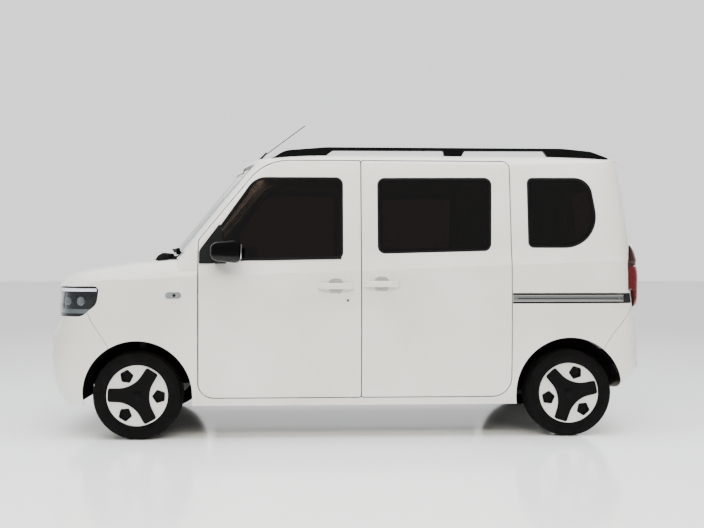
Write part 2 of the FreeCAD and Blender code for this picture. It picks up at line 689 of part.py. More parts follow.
# Hinges: pin point, way to the moving panel, outward way, way along the pin.
pin_x = front_x + gap / 2 - size("hinge_back") - gap / 2
pin_y = -(0.986 * half_width - size("hinge_depth"))
door_hinges = [(Vector(pin_x, pin_y, z), Vector(1, 0, 0), Vector(0, -1, 0), Vector(0, 0, 1)) for z in (450.0, 850.0)]
bonnet_pin_x = bonnet_back_x + size("hinge_back") + gap
bonnet_pin_z = bonnet_surface(bonnet_pin_x, 560.0) - size("hinge_depth") - 2.0
bonnet_hinges = [(Vector(bonnet_pin_x, y, bonnet_pin_z), Vector(-1, 0, 0), Vector(0, 0, 1), Vector(0, 1, 0))
                 for y in (-560.0, 560.0)]
gate_pin_x = gate_x + gap / 2 - size("hinge_back") - gap / 2
gate_pin_z = roof_surface(gate_pin_x, 400.0) - size("hinge_depth")
gate_hinges = [(Vector(gate_pin_x, y, gate_pin_z), Vector(1, 0, 0), Vector(0, 0, 1), Vector(0, 1, 0))
               for y in (-400.0, 400.0)]

# Side frame: pillars, cant rail, sill and rear quarter in one, cut for the doors and windows.
left_side = slab((nose_x, -outboard, 0.0), (tail_x + overrun, -roof_y, beyond))
frame = wall.common(left_side)
for outline in (front_door, sliding_door):
    frame = frame.cut(rebate_shell.common(side_prism(outline, gap)))
    frame = frame.cut(side_prism(outline, -lip))
frame = frame.cut(side_prism(quarter_window))
frame = frame.cut(glass_bed.common(side_prism(quarter_window, edge + clearance)))
frame = frame.cut(skin_body.cut(glass_back).common(side_prism(slide_slot)))
frame = frame.cut(rear_arch).cut(side_prism(rear_bumper_outline))
gate_room = rebate_shell.common(rear_prism(tailgate_outline, gate_x - gap / 2, gap / 2))
frame = frame.cut(gate_room)
frame = frame.cut(front_prism(screen_window)).cut(glass_bed.common(front_prism(screen_window, edge + clearance)))
lamp_room = skin_body.cut(lamp_back).common(side_prism(tail_lamp_outline, clearance))
frame = frame.cut(lamp_room)
above_bonnet = lid(bonnet_surface, (nose_x, screen_x + 7 * overrun), half_width + overrun / 4, -seam, overrun * 12)
ahead = slab((nose_x, -outboard, 0.0), (front_x - gap / 2, 0.0, beyond))
frame = frame.cut(ahead.cut(above_bonnet))
pillar = slab((front_x - 75.0, pin_y + 17.0, sill + 40.0), (front_x + lip, -half_width + 125.0, 1030.0))
pillar = pillar.cut(front_liner_room).cut(rebate_shell.common(side_prism(front_door, gap)))
frame = frame.fuse(pillar.common(skin_body)).removeSplitter()
door_room = rebate_shell.common(side_prism(front_door, gap))
door_room = door_room.common(slab((front_x - gap, -outboard, pane_low), (front_x + 5 * overrun, 0.0, high_z)))
for turn in range(1, 7):
    turned_room = door_room.copy()
    turned_room.rotate(door_hinges[0][0], Vector(0, 0, 1), -turn * size("swing_step"))
    frame = frame.cut(turned_room)
for hinge in door_hinges:
    frame = frame.cut(hinge_pocket(hinge, size("hinge_back") + lip + gap, size("hinge_reach") + 2 * gap))
    frame = frame.fuse(hinge_lugs(hinge, 32.0))
frame = frame.removeSplitter()

# Plan of a door handle about its middle as (x, y, corner radius), the skin at y = 0.
handle_outline = (
    (-112.0, 8.0, 6.0), (-104.0, -16.0, 25.0), (-62.0, -34.0, 60.0), (62.0, -34.0, 60.0), (104.0, -16.0, 25.0),
    (112.0, 8.0, 6.0), (86.0, 8.0, 4.0), (72.0, -20.0, 14.0), (-72.0, -20.0, 14.0), (-86.0, 8.0, 4.0),
)


def with_handle(leaf, x, z):
    """Door leaf with a bowed handle over a hollow that the fingers reach into."""
    probe = leaf.common(slab((x - 1.0, -outboard, z - 1.0), (x + 1.0, 0.0, z + 1.0)))
    skin_y = min(corner.Y for corner in probe.Vertexes)
    hollow_radius = (cup_radius ** 2 + cup_depth ** 2) / (2 * cup_depth)
    hollow = Part.makeSphere(hollow_radius, Vector(x, skin_y - hollow_radius + cup_depth, z))
    low = z - handle_width / 2
    wire = rounded_wire(handle_outline, lambda p: Vector(x + p.x, skin_y + p.y, low))
    grip = Part.Face(wire).extrude(Vector(0, 0, handle_width))
    rims = [rim for rim in grip.Edges if rim.BoundBox.ZLength < clearance]
    return leaf.cut(hollow).fuse(grip.makeFillet(size("handle_round"), rims)).removeSplitter()


# Doors with their handles; front doors carry half a hinge each.
front_leaf = door_wall.common(side_prism(front_door)).cut(side_prism(front_window))
front_leaf = front_leaf.cut(glass_bed.common(side_prism(front_window, edge + clearance)))
front_leaf = front_leaf.cut(glass_back.common(slab((middle_x - 15.0, -outboard, 0.0), (middle_x + overrun, 0.0, roof))))
front_leaf = front_leaf.cut(swing_room_of(
    nose_skin, (front_x - overrun, -outboard, sill), (front_x - gap / 2, pin_y, beyond),
    door_hinges[0][0], Vector(0, 0, 1), size("door_swing")))
for hinge in door_hinges:
    front_leaf = front_leaf.fuse(gooseneck(hinge, size("hinge_back") + 20.0))
sliding_leaf = door_wall.common(side_prism(sliding_door)).cut(side_prism(sliding_window))
sliding_leaf = sliding_leaf.cut(glass_bed.common(side_prism(sliding_window, edge + clearance)))
buffer_shell = door_back.cut(cabin_solid(size("door_thickness") + gap - clearance, roof_drop))
for x in (middle_x + 12.0, rear_x - 32.0):
    for z in (600.0, 1480.0):
        sliding_leaf = sliding_leaf.fuse(buffer_shell.common(slab((x, -outboard, z), (x + 18.0, 0.0, z + 50.0))))
front_leaf = with_handle(front_leaf, -64.0, 916.0)
sliding_leaf = with_handle(sliding_leaf, 211.0, 928.0)
front_pane = pane_shell.common(side_prism(front_window, edge))
sliding_pane = pane_shell.common(side_prism(sliding_window, edge))
quarter_pane = pane_shell.common(side_prism(quarter_window, edge))

# Roof panel with its headers, windscreen, tailgate and its window.
roof_zone = slab((-800.0, -roof_y + seam, 1610.0), (gate_x - gap / 2, roof_y - seam, beyond))
roof_hollow = lid(roof_surface, (-640.0, 1590.0), roof_y, roof_drop, -5 * overrun)
roof_piece = skin_body.common(roof_zone).cut(roof_hollow).cut(front_prism(screen_window))
roof_piece = roof_piece.cut(glass_bed.common(front_prism(screen_window, edge + clearance)))
gate = door_wall.common(rear_prism(tailgate_outline, gate_x + gap / 2, -gap / 2)).cut(rear_prism(tailgate_window, gate_x))
gate = gate.cut(glass_bed.common(rear_prism(tailgate_window, gate_x, edge + clearance)))
gate = gate.cut(swing_room_of(
    skin_body, (gate_x - overrun, -gate_y, gate_pin_z), (gate_x - gap / 2, gate_y, beyond),
    Vector(gate_pin_x, 0.0, gate_pin_z), Vector(0, 1, 0), size("gate_swing")))
for hinge in gate_hinges:
    roof_piece = roof_piece.cut(hinge_box(hinge, (-15.0, -size("hinge_reach") - 2 * gap, -26.0),
                                          (size("hinge_back") + gap, size("hinge_eye") + 1.0, 26.0)))
    roof_piece = roof_piece.fuse(hinge_lugs(hinge, 46.0).common(skin_body))
    gate = gate.fuse(gooseneck(hinge, size("hinge_back") + 20.0))
gate_pane = pane_shell.common(rear_prism(tailgate_window, gate_x, edge))
screen_pane = pane_shell.common(front_prism(screen_window, edge))

# Front end: bonnet, wings, bumper and lamps.
bonnet_prism = plan_prism(bonnet_outline, bonnet_front, beyond)
bonnet = nose_shell.common(bonnet_prism)
cowl_rear = slab((-1300.0, -bonnet_y + seam, 900.0), (front_x - gap / 2, bonnet_y - seam, beyond))
bonnet_room = plan_prism([(x + (lift if x > nose_x else 0.0), y * (1 + gap / bonnet_y), r) for x, y, r in bonnet_outline],
                         bonnet_front - gap, beyond)
cowl = nose_shell.common(cowl_rear).cut(bonnet_room).cut(skin_body)
notch_half = size("hinge_height") / 2 + gap
for hinge in bonnet_hinges:
    cowl = cowl.cut(hinge_box(hinge, (size("hinge_back") + seam, -size("hinge_reach"), -notch_half),
                              (3 * size("hinge_back"), size("hinge_reach"), notch_half)))
lamp_block = nose_skin.cut(nose_lamp)
lamp_zone = slab((nose_x - overrun, -outboard, 0.0), (tail_x, -430.0, beyond))
headlamp = lamp_block.common(side_prism(headlamp_outline)).common(lamp_zone)
lamp_gap = side_prism(headlamp_outline, seam).common(slab((nose_x - overrun, -outboard, 0.0), (tail_x, -430.0 + seam, beyond)))
both_lamp_gap = lamp_gap.fuse(lamp_gap.mirror(Vector(0, 0, 0), Vector(0, 1, 0)))
bumper_prism = full(side_prism, front_bumper_outline)
bumper = nose_shell.common(bumper_prism).cut(both_lamp_gap).cut(front_arch).cut(bonnet_room)
intake = Part.Face(rounded_wire(intake_outline, lambda p: Vector(nose_x - overrun, p.x, p.y)))
bumper = bumper.cut(intake.extrude(Vector(4 * overrun, 0, 0)))
wing = nose_shell.common(slab((nose_x, -outboard, 0.0), (tail_x, 0.0, beyond))).cut(front_arch)
wing = wing.cut(side_prism(front_bumper_outline, seam)).cut(lamp_gap).cut(bonnet_room)
wing = wing.cut(slab((nose_x, -bonnet_y, 0.0), (tail_x, 0.0, beyond)))
bonnet = bonnet.cut(both_lamp_gap)
for hinge in bonnet_hinges:
    bonnet = bonnet.fuse(gooseneck(hinge, size("hinge_back") + 64.0))
    bonnet = bonnet.fuse(hinge_box(hinge, (68.0, -size("hinge_reach"), -20.0), (94.0, 14.0, 20.0)).common(nose_skin))
rear_skin = skin_body.cut(cabin_solid(skin, skin))
rear_bumper = rear_skin.common(full(side_prism, rear_bumper_outline, -seam)).cut(rear_arch)
rear_bumper = rear_bumper.cut(rear_prism(tailgate_outline, gate_x - gap / 2, gap / 2))
rear_bumper = rear_bumper.common(slab((1500.0, -outboard, 270.0), (tail_x + overrun, outboard, beyond)))
tail_lamp = skin_body.cut(lamp_back).common(side_prism(tail_lamp_outline))
tail_lamp = tail_lamp.cut(rear_prism(tailgate_outline, gate_x - gap / 2, gap / 2))


# Floor pan: two levels, rear wheelhouses and the panel behind the rear bumper.
floor_z = 303.0
rear_floor_z = 450.0
step_x = 1000.0
toe_x = front_x - 12.0
rear_bed = cabin_solid(skin + clearance, skin + clearance)
panel_back = cabin_solid(size("frame_depth") + liner, roof_drop)
floor_pan = slab((toe_x + clearance, -outboard, floor_z - liner), (step_x + liner, outboard, floor_z))
floor_pan = floor_pan.fuse([
    slab((step_x, -outboard, floor_z - liner), (step_x + liner, outboard, rear_floor_z)),
    slab((step_x, -outboard, rear_floor_z - liner), (tail_x, outboard, rear_floor_z)),
])
wheelhouse = rod_y(rear_axle_x, rear_arch_z, arch + liner, -outboard, outboard)
wheelhouse = wheelhouse.cut(slab((nose_x, 6.0 - 554.0, 0.0), (tail_x, 554.0 - 6.0, roof)))
arch_room = rod_y(rear_axle_x, rear_arch_z, arch, -outboard, outboard)
arch_room = arch_room.cut(slab((nose_x, -554.0, 0.0), (tail_x, 554.0, roof)))
floor_pan = floor_pan.fuse(wheelhouse.common(slab((nose_x, -outboard, 260.0), (tail_x, outboard, roof)))).cut(arch_room)
floor_pan = floor_pan.common(inside).cut(rod_y(rear_axle_x, axle_z, 60.0, -outboard, outboard))
rear_panel = rear_bed.cut(panel_back).common(full(side_prism, rear_bumper_outline, -clearance))
rear_panel = rear_panel.common(slab((1500.0, -outboard, 432.0), (tail_x, outboard, 780.0)))
rear_panel = rear_panel.cut(rod_y(rear_axle_x, rear_arch_z, arch + liner, -outboard, outboard))
rear_panel = rear_panel.cut(rebate_shell.common(rear_prism(tailgate_outline, gate_x - gap / 2, gap / 2)))
rear_panel = rear_panel.cut(slab((1500.0, 5.0 - 560.0, 560.0 - gap), (tail_x, 560.0 - 5.0, 780.0)))
floor_pan = floor_pan.fuse(rear_panel).removeSplitter()

# Bulkhead: firewall, toe boards, aprons with their shelf, wheelhouse liners, bumper beam and lamp carriers.
apron_y = 0.537 * half_width
shelf_z = 880.0
firewall_x = screen_x + liner
nose_carrier = nose_solid(size("lamp_depth") + clearance)
nose_hollow = nose_solid(size("lamp_depth") + 4 * liner)
left_parts = [
    slab((toe_x - liner, 2.0 - half_width + 123.0, 250.0), (toe_x, -apron_y, 980.0)).common(inside),
    slab((nose_x, -apron_y, 300.0), (toe_x, liner - apron_y, shelf_z + liner)).common(nose_bed),
    slab((-1700.0, -outboard, shelf_z), (front_x - 78.0, liner - apron_y, shelf_z + liner)).common(nose_bed),
    slab((front_x - 79.0, -half_width + 128.0, shelf_z), (toe_x, liner - apron_y, shelf_z + liner)),
]
house = rod_y(front_axle_x, axle_z, arch + liner, -outboard, liner - apron_y)
house = house.cut(rod_y(front_axle_x, axle_z, arch, -outboard, outboard))
house = house.common(slab((nose_x, -outboard, 235.0), (tail_x, 0.0, roof))).common(nose_bed)
house = house.cut(slab((front_x - 80.0, -outboard, 0.0), (front_x, -half_width + 122.0, roof)))
carrier = nose_carrier.cut(nose_hollow).common(slab((nose_x, -outboard, 740.0), (-1480.0, -apron_y, shelf_z + liner)))
left_parts += [house, carrier]
strut_y = 535.0
strut_room = Part.makeCylinder(22.0 + gap, 400.0, Vector(front_axle_x, -strut_y, 400.0))
left_side_structure = left_parts[0].fuse(left_parts[1:]).cut(strut_room)
beam = nose_bed.cut(nose_lamp).common(slab((nose_x, -640.0, 420.0), (-1600.0, 640.0, 520.0)))
screen_beam = wall.common(slab((-1300.0, clearance - roof_y, 1010.0), (-900.0, roof_y - clearance, 1112.0)))
screen_beam = screen_beam.cut(front_prism(screen_window)).cut(glass_bed.common(front_prism(screen_window, edge + clearance)))
for hinge in bonnet_hinges:
    screen_beam = screen_beam.cut(hinge_pocket(hinge, size("hinge_back"), size("hinge_reach") + 2 * gap))
bulkhead = left_side_structure.fuse([
    left_side_structure.mirror(Vector(0, 0, 0), Vector(0, 1, 0)), beam, screen_beam,
    slab((firewall_x, -apron_y, 300.0), (firewall_x + liner, apron_y, 1020.0)),
])
for hinge in bonnet_hinges:
    bulkhead = bulkhead.fuse(hinge_lugs(hinge, bonnet_pin_z - shelf_z - liner / 2))
lamp_seat = nose_skin.cut(nose_carrier).common(side_prism(headlamp_outline, clearance)).common(lamp_zone)
bulkhead = bulkhead.cut(lamp_seat).cut(mirror_of(lamp_seat)).removeSplitter()

# Roof rails on three feet each, following the roof.
rail_y = 0.785 * half_width
rail_top = roof + 27.0
rail_side = (
    (-545.0, 1600.0, 5.0), (-545.0, 1690.0, 20.0), (-250.0, 1748.0, 200.0), (-100.0, rail_top, 200.0),
    (1360.0, rail_top, 200.0), (1560.0, 1742.0, 100.0), (1618.0, 1712.0, 20.0), (1618.0, 1600.0, 5.0),
)


def across(corners, y_low, y_high):
    """Side view outline carried across between two widths."""
    wire = rounded_wire(corners, lambda p: Vector(p.x, y_low, p.y))
    return Part.Face(wire).extrude(Vector(0, y_high - y_low, 0))


rail = across(rail_side, -rail_y - 15.0, 15.0 - rail_y)
rail = rail.cut(lid(lambda x, y: roof_surface(x, y) + clearance, (-700.0, tail_x), 0.95 * half_width, 0.0, -6 * overrun))
for first, last in ((-165.0, 548.0), (672.0, 1270.0)):
    rail = rail.cut(across(((first, 1600.0, 1.0), (first + 40.0, 1743.0, 10.0), (last - 40.0, 1743.0, 10.0), (last, 1600.0, 1.0)),
                           -rail_y - 20.0, 20.0 - rail_y))
slide_rail = pane_shell.common(side_prism(slide_strip))

# Mirror housing on the front door, and the aerial.
mirror_outline = (
    (-806.0, 1062.0, 26.0), (-802.0, 1150.0, 40.0), (-725.0, 1190.0, 50.0), (-614.0, 1172.0, 34.0),
    (-618.0, 1082.0, 34.0), (-720.0, 1056.0, 50.0),
)
mirror_arm_outline = ((-800.0, 1046.0, 10.0), (-796.0, 1096.0, 10.0), (-724.0, 1096.0, 10.0), (-728.0, 1046.0, 10.0))
mirror_y = -905.0
mirror = across(mirror_outline, mirror_y, mirror_y + 130.0)
mirror = mirror.makeFillet(20.0, [rim for rim in mirror.Edges if rim.BoundBox.YMax < mirror_y + clearance])
mirror = mirror.fuse(across(mirror_arm_outline, mirror_y + 110.0, -700.0)).cut(skin_body)
aerial_foot = Vector(-603.0, 0.0, roof_surface(-603.0, 0.0) + clearance)
aerial_knee = Vector(-511.0, 0.0, 1793.0)
aerial_tip = Vector(-249.0, 0.0, 1989.0)
aerial_way = aerial_tip - aerial_knee
aerial = Part.makeCylinder(3.0, aerial_way.Length, aerial_knee, aerial_way)
base_way = aerial_knee - aerial_foot
aerial = aerial.fuse(Part.makeCone(11.0, 6.0, base_way.Length + 4.0, aerial_foot + Vector(0, 0, 8.0), base_way))
aerial = aerial.fuse(Part.makeCylinder(17.0, 22.0, aerial_foot - Vector(0, 0, 6.0)))
roof_pitch = math.atan2(roof_surface(-603.0, 0.0) - roof_surface(-633.0, 0.0), 30.0)
aerial_seat = Part.makeBox(400.0, 400.0, 100.0, Vector(-200.0, -200.0, -100.0))
aerial_seat.Placement = Placement(aerial_foot, Rotation(Vector(0, 1, 0), -math.degrees(roof_pitch)))
aerial = aerial.cut(aerial_seat)

# Holes for a bare number plate on the tailgate.
for y in (-70.0, 70.0):
    gate = gate.cut(Part.makeCylinder(3.0, 80.0, Vector(tail_x - 62.0, y, 760.0), Vector(1, 0, 0)))

# Front suspension, fixed: cross-member, lower arms, struts and the pins that the knuckles turn on.
kingpin_y = wheel_y - size("kingpin_inset")
post_low, post_high = 152.0, 378.0
steer_gap = size("steer_gap")
pieces = [
    slab((front_axle_x - 60.0, -380.0, 150.0), (front_axle_x + 90.0, 380.0, 230.0)),
    slab((front_axle_x + 20.0, liner + clearance - apron_y, 230.0 - liner),
         (front_axle_x + 90.0, apron_y - clearance - liner, 340.0)),
]
for side in (-1, 1):
    lug_low = post_low - steer_gap - 12.0
    lug_high = post_high + steer_gap
    low_y, high_y = sorted((side * 370.0, side * (kingpin_y - 10.0)))
    up_low, up_high = sorted((side * (strut_y - 10.0), side * (kingpin_y - 5.0)))
    pieces += [
        slab((front_axle_x - 30.0, low_y, lug_low), (front_axle_x + 30.0, high_y, lug_low + 12.0)),
        slab((front_axle_x - 30.0, min(side * 360.0, side * 380.0), lug_low), (front_axle_x + 30.0, max(side * 360.0, side * 380.0), 200.0)),
        Part.makeCylinder(28.0, 12.0, Vector(front_axle_x, side * kingpin_y, lug_low)),
        Part.makeCylinder(8.0, 12.0 + steer_gap + 25.0, Vector(front_axle_x, side * kingpin_y, lug_low)),
        slab((front_axle_x - 22.0, up_low, lug_high), (front_axle_x + 22.0, up_high, lug_high + 12.0)),
        Part.makeCylinder(22.0, 12.0, Vector(front_axle_x, side * kingpin_y, lug_high)),
        Part.makeCylinder(8.0, 12.0 + steer_gap + 25.0, Vector(front_axle_x, side * kingpin_y, lug_high - steer_gap - 25.0)),
        Part.makeCylinder(22.0, shelf_z - clearance - lug_high, Vector(front_axle_x, side * strut_y, lug_high)),
    ]
subframe = pieces[0].fuse(pieces[1:]).removeSplitter()
knuckle = Part.makeCylinder(20.0, post_high - post_low, Vector(front_axle_x, -kingpin_y, post_low))
knuckle = knuckle.fuse([
    rod_y(front_axle_x, axle_z, size("stub_radius"), -wheel_y - 50.0, -kingpin_y),
    rod_y(front_axle_x, axle_z, 48.0, -kingpin_y - 42.0, -kingpin_y),
    slab((front_axle_x, -kingpin_y + 4.0, 214.0), (front_axle_x + 110.0, -kingpin_y + 26.0, 228.0)),
])
for z, length in ((post_low, 25.0), (post_high - 25.0, 25.0)):
    knuckle = knuckle.cut(Part.makeCylinder(8.0 + clearance, length + clearance, Vector(
        front_axle_x, -kingpin_y, z if z == post_low else z - clearance)))
knuckle = knuckle.removeSplitter()

# Rear beam axle with its motor and trailing arms.
axle_parts = [
    rod_y(rear_axle_x, axle_z, 38.0, -545.0, 545.0),
    rod_y(rear_axle_x, axle_z, size("stub_radius"), -wheel_y - 50.0, wheel_y + 50.0),
    rod_y(rear_axle_x, axle_z, 48.0, -wheel_y + 18.0, wheel_y - 18.0),
]
for side in (-1, 1):
    low_y, high_y = sorted((side * 430.0, side * 480.0))
    axle_parts.append(slab((step_x + liner + clearance, low_y, 225.0), (rear_axle_x, high_y, 285.0)))
    axle_parts.append(slab((step_x + liner + clearance, low_y, 225.0), (step_x + 50.0, high_y, 400.0)))
    axle_parts.append(Part.makeCylinder(50.0, rear_floor_z - liner - clearance - 264.0, Vector(rear_axle_x - 60.0, side * 455.0, 264.0)))
rear_axle = axle_parts[0].fuse(axle_parts[1:]).removeSplitter()
motor = rod_y(rear_axle_x, axle_z, 120.0, -190.0, 190.0).cut(rod_y(rear_axle_x, axle_z, 48.0 + clearance, -400.0, 400.0))

# Wheels and tyres, turned profiles as (radius, width) from the centre plane outwards.
tyre_profile = (
    ("rim_radius + seat_clearance", "-rim_width / 2 + 6"), ("rim_radius + 48", "-tyre_width / 2"),
    ("tyre_radius", "-tyre_width / 2 + 22"), ("tyre_radius", "tyre_width / 2 - 22"),
    ("rim_radius + 48", "tyre_width / 2"), ("rim_radius + seat_clearance", "rim_width / 2 - 6"),
)
wheel_profile = (
    ("stub_radius + seat_clearance", "-15"), ("60", "-15"), ("60", "56"), ("146", "52"), ("150", "46"),
    ("150", "-rim_width / 2 - 4"), ("flange_radius", "-rim_width / 2 - 8"), ("flange_radius", "-rim_width / 2 - 3"),
    ("rim_radius", "-rim_width / 2 + 5.3"), ("rim_radius", "rim_width / 2 - 5.3"), ("flange_radius", "rim_width / 2 + 3"),
    ("flange_radius", "rim_width / 2 + 7"), ("170", "rim_width / 2 + 9"), ("120", "70"), ("50", "71"), ("0", "71"),
    ("0", "51"), ("stub_radius + seat_clearance", "51"),
)
tyre = turned("tyre", tyre_profile)
wheel = turned("wheel", wheel_profile)
cover_y = 71.0
star_swing = 13.0
# Direction of the first arm of each cover's star in side view, in degrees from the rear, turning upwards.
star_turns = {"front_left": 58.0, "front_right": 20.0, "rear_left": 12.0, "rear_right": 75.0}


def polar(reach, degrees):
    """Point in the wheel's plane, a reach from the hub in a direction."""
    return reach * math.cos(math.radians(degrees)), reach * math.sin(math.radians(degrees))


def covered(source, turn):
    """Wheel with its cover's three-armed star and, between the arms, three five-sided pockets."""
    star_corners = []
    for arm in (0.0, 120.0, 240.0):
        star_corners += [
            polar(size("star_reach"), turn + arm - star_swing) + (14.0,),
            polar(size("star_reach"), turn + arm + star_swing) + (14.0,),
            polar(50.0, turn + arm + 60.0) + (150.0,),
        ]
    wire = rounded_wire(star_corners, lambda p: Vector(p.x, cover_y - 5.0, p.y))
    made = source.fuse(Part.Face(wire).extrude(Vector(0, 5.0 + size("star_rise"), 0)))
    for arm in (60.0, 180.0, 300.0):
        middle_a, middle_b = polar(size("pocket_circle"), turn + arm)
        pocket_corners = []
        for corner in range(5):
            corner_a, corner_b = polar(size("pocket_radius"), turn + arm + 180.0 + 72.0 * corner)
            pocket_corners.append((middle_a + corner_a, middle_b + corner_b, 9.0))
        wire = rounded_wire(pocket_corners, lambda p: Vector(p.x, cover_y - size("pocket_depth"), p.y))
        made = made.cut(Part.Face(wire).extrude(Vector(0, overrun, 0)))
    return made.removeSplitter()

# Cabin fittings.
battery = block("battery", ("-650", "-520", "205"), ("850", "520", "296.7"))
dash_low = padded("dash_low", (("-896.7", "640"), ("-896.7", "980.3"), ("-830", "980.3"), ("-812", "930"), ("-850", "640")),
                  "-620", "620")
dash_pad = padded("dash_pad", (("-1000", "980.3"), ("-985", "1006"), ("-840", "1000"), ("-815", "980.3")), "-620", "620")
dash_tunnel = block("dash_tunnel", ("-1142.7", "-380", "760"), ("-896", "380", "960"))
seat_corners = (
    ("-500", "430"), ("-510", "520"), ("-470", "552"), ("-70", "525"), ("20", "1100"), ("50", "1140"), ("110", "1130"),
    ("130", "1090"), ("60", "480"), ("0", "430"),
)
head_corners = (("45", "1130"), ("40", "1150"), ("30", "1290"), ("60", "1330"), ("105", "1320"), ("115", "1160"), ("105", "1130"))
seats = []
for side, first, last in (("left", "-560", "-110"), ("right", "110", "560")):
    cushion = padded("cushion_" + side, seat_corners, first, last)
    head = padded("head_" + side, head_corners, "(%s) + 100" % first, "(%s) - 100" % last)
    base = block("base_" + side, ("-430", "(%s) + 40" % first, "303.3"), ("-40", "(%s) - 40" % last, "440"))
    seats.append(fused("whole_seat_" + side, [cushion, head, base]))
rear_corners = (
    ("480", "440"), ("470", "530"), ("510", "555"), ("870", "530"), ("950", "1090"), ("980", "1120"), ("1030", "1110"),
    ("1045", "1080"), ("990", "640"), ("960", "440"),
)
rear_bench = padded("rear_bench", rear_corners, "-600", "600")
rear_base = block("rear_base", ("520", "-560", "303.3"), ("930", "560", "450"))
rear_seat = fused("whole_bench", [rear_bench, rear_base])
doc.recompute()

# Steering wheel on its column.
rake = math.radians(25.0)
column_way = Vector(math.cos(rake), 0, math.sin(rake))
hub_at = Vector(-690.0, -335.0, 965.0)
steering = Part.makeTorus(178.0, 13.0, hub_at, column_way)
steering = steering.fuse(Part.makeCylinder(48.0, 36.0, hub_at - column_way * 40.0, column_way))
steering = steering.fuse(Part.makeCylinder(9.0, 90.0, hub_at - column_way * 100.0, column_way))
for turn in (0.0, 180.0, 270.0):
    way = Rotation(column_way, turn).multVec(Vector(0, 1, 0))
    steering = steering.fuse(Part.makeCylinder(11.0, 178.0, hub_at - column_way * 12.0, way))
column = Part.makeCylinder(26.0, 150.0, hub_at - column_way * (46.0 + 150.0), column_way)
column = column.cut(Part.makeCylinder(9.0 + clearance, 70.0, hub_at - column_way * 105.0, column_way))
dashboard = dash_low.Shape.copy().fuse([dash_pad.Shape, dash_tunnel.Shape, column]).removeSplitter()

# Sub-parts: file name and shape, the left ones mirrored to the right.
finished = [
    ("side_frame_left", frame), ("door_front_left", front_leaf), ("door_glass_left", front_pane),
    ("sliding_door_left", sliding_leaf), ("roof_panel", roof_piece), ("tailgate", gate),
    ("tailgate_glass", gate_pane), ("windscreen", screen_pane), ("bonnet", bonnet), ("cowl_panel", cowl),
    ("front_bumper", bumper), ("fender_left", wing), ("rear_bumper", rear_bumper), ("floor_pan", floor_pan),
    ("bulkhead", bulkhead), ("mirror_left", mirror), ("antenna", aerial), ("front_subframe", subframe),
    ("knuckle_left", knuckle), ("rear_axle", rear_axle), ("drive_unit", motor),
    ("steering_wheel", steering), ("dashboard", dashboard), ("battery_pack", battery.Shape),
    ("seat_left", seats[0].Shape), ("seat_right", seats[1].Shape), ("seat_rear", rear_seat.Shape),
]


for name, shape in (("side_glass", sliding_pane.fuse(quarter_pane)), ("headlamps", headlamp), ("tail_lamps", tail_lamp),
                    ("roof_rails", rail), ("slide_rails", slide_rail)):
    finished.append((name, Part.makeCompound([shape, mirror_of(shape)])))
for name, shape in (("side_frame_right", frame), ("door_front_right", front_leaf), ("door_glass_right", front_pane),
                    ("sliding_door_right", sliding_leaf), ("fender_right", wing), ("mirror_right", mirror),
                    ("knuckle_right", knuckle)):
    finished.append((name, mirror_of(shape)))
for place, x in (("front", front_axle_x), ("rear", rear_axle_x)):
    for side, way in (("left", -1), ("right", 1)):
        corner = place + "_" + side
        for kind, source in (("tyre", tyre.Shape.copy()), ("wheel", covered(wheel.Shape, star_turns[corner]))):
            if way < 0:
                source = mirror_of(source)
            source.translate(Vector(x, way * wheel_y, axle_z))
            finished.append((kind + "_" + corner, source))

outputs = []
for name, shape in finished:
    item = feature(name, shape)
    item.Label = name
    outputs.append(item)
doc.recompute()
faults = [item.Name for item in doc.Objects if "Invalid" in item.State or "Error" in item.State]
faults += [item.Name for item in outputs if item.Shape.isNull() or not item.Shape.isValid() or not item.Shape.Solids]
if faults:
    raise SystemExit("objects that failed: " + ", ".join(faults))
os.makedirs("parts", exist_ok=True)
for item in outputs:
    item.Shape.exportStep("parts/%s.step" % item.Label)
    print(item.Label, len(item.Shape.Solids), len(item.Shape.Faces), round(item.Shape.Volume / 1e6, 2))
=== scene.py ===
"""Looks of the five-door microvan: paint, glass, lamps, covers, tyres, trim and seats around the CAD frame."""

import json
import math

import bmesh
import bpy
from mathutils import Matrix, Vector
from mathutils.bvhtree import BVHTree


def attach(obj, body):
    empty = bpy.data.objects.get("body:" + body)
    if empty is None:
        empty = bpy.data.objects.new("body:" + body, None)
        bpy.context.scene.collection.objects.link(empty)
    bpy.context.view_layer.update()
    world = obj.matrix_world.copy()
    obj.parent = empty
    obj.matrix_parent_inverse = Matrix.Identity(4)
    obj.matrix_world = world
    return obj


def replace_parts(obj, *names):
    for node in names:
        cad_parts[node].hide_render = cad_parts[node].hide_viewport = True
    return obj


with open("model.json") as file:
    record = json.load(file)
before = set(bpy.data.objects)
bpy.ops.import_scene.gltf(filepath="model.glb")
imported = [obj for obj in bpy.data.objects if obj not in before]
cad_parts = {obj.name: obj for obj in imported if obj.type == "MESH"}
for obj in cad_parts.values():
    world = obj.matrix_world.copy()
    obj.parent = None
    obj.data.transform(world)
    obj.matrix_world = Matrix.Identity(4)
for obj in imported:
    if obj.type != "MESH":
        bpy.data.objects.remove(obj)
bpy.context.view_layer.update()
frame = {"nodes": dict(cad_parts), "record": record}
nodes = frame["nodes"]
scene = bpy.context.scene
MM = 0.001
FULL_TURN = 6.283
SIDES = ("left", "right")

# Camera: the place, turn and focal length that the photograph was taken with.
CAMERA_SPOT = (-0.2457, -6.2074, 1.0277)
CAMERA_YAW = math.radians(2.919)
CAMERA_PITCH = math.radians(0.2076)
SENSOR_WIDTH = 36.0
FOCAL_PIXELS = 912.64
PHOTO_WIDTH = 704

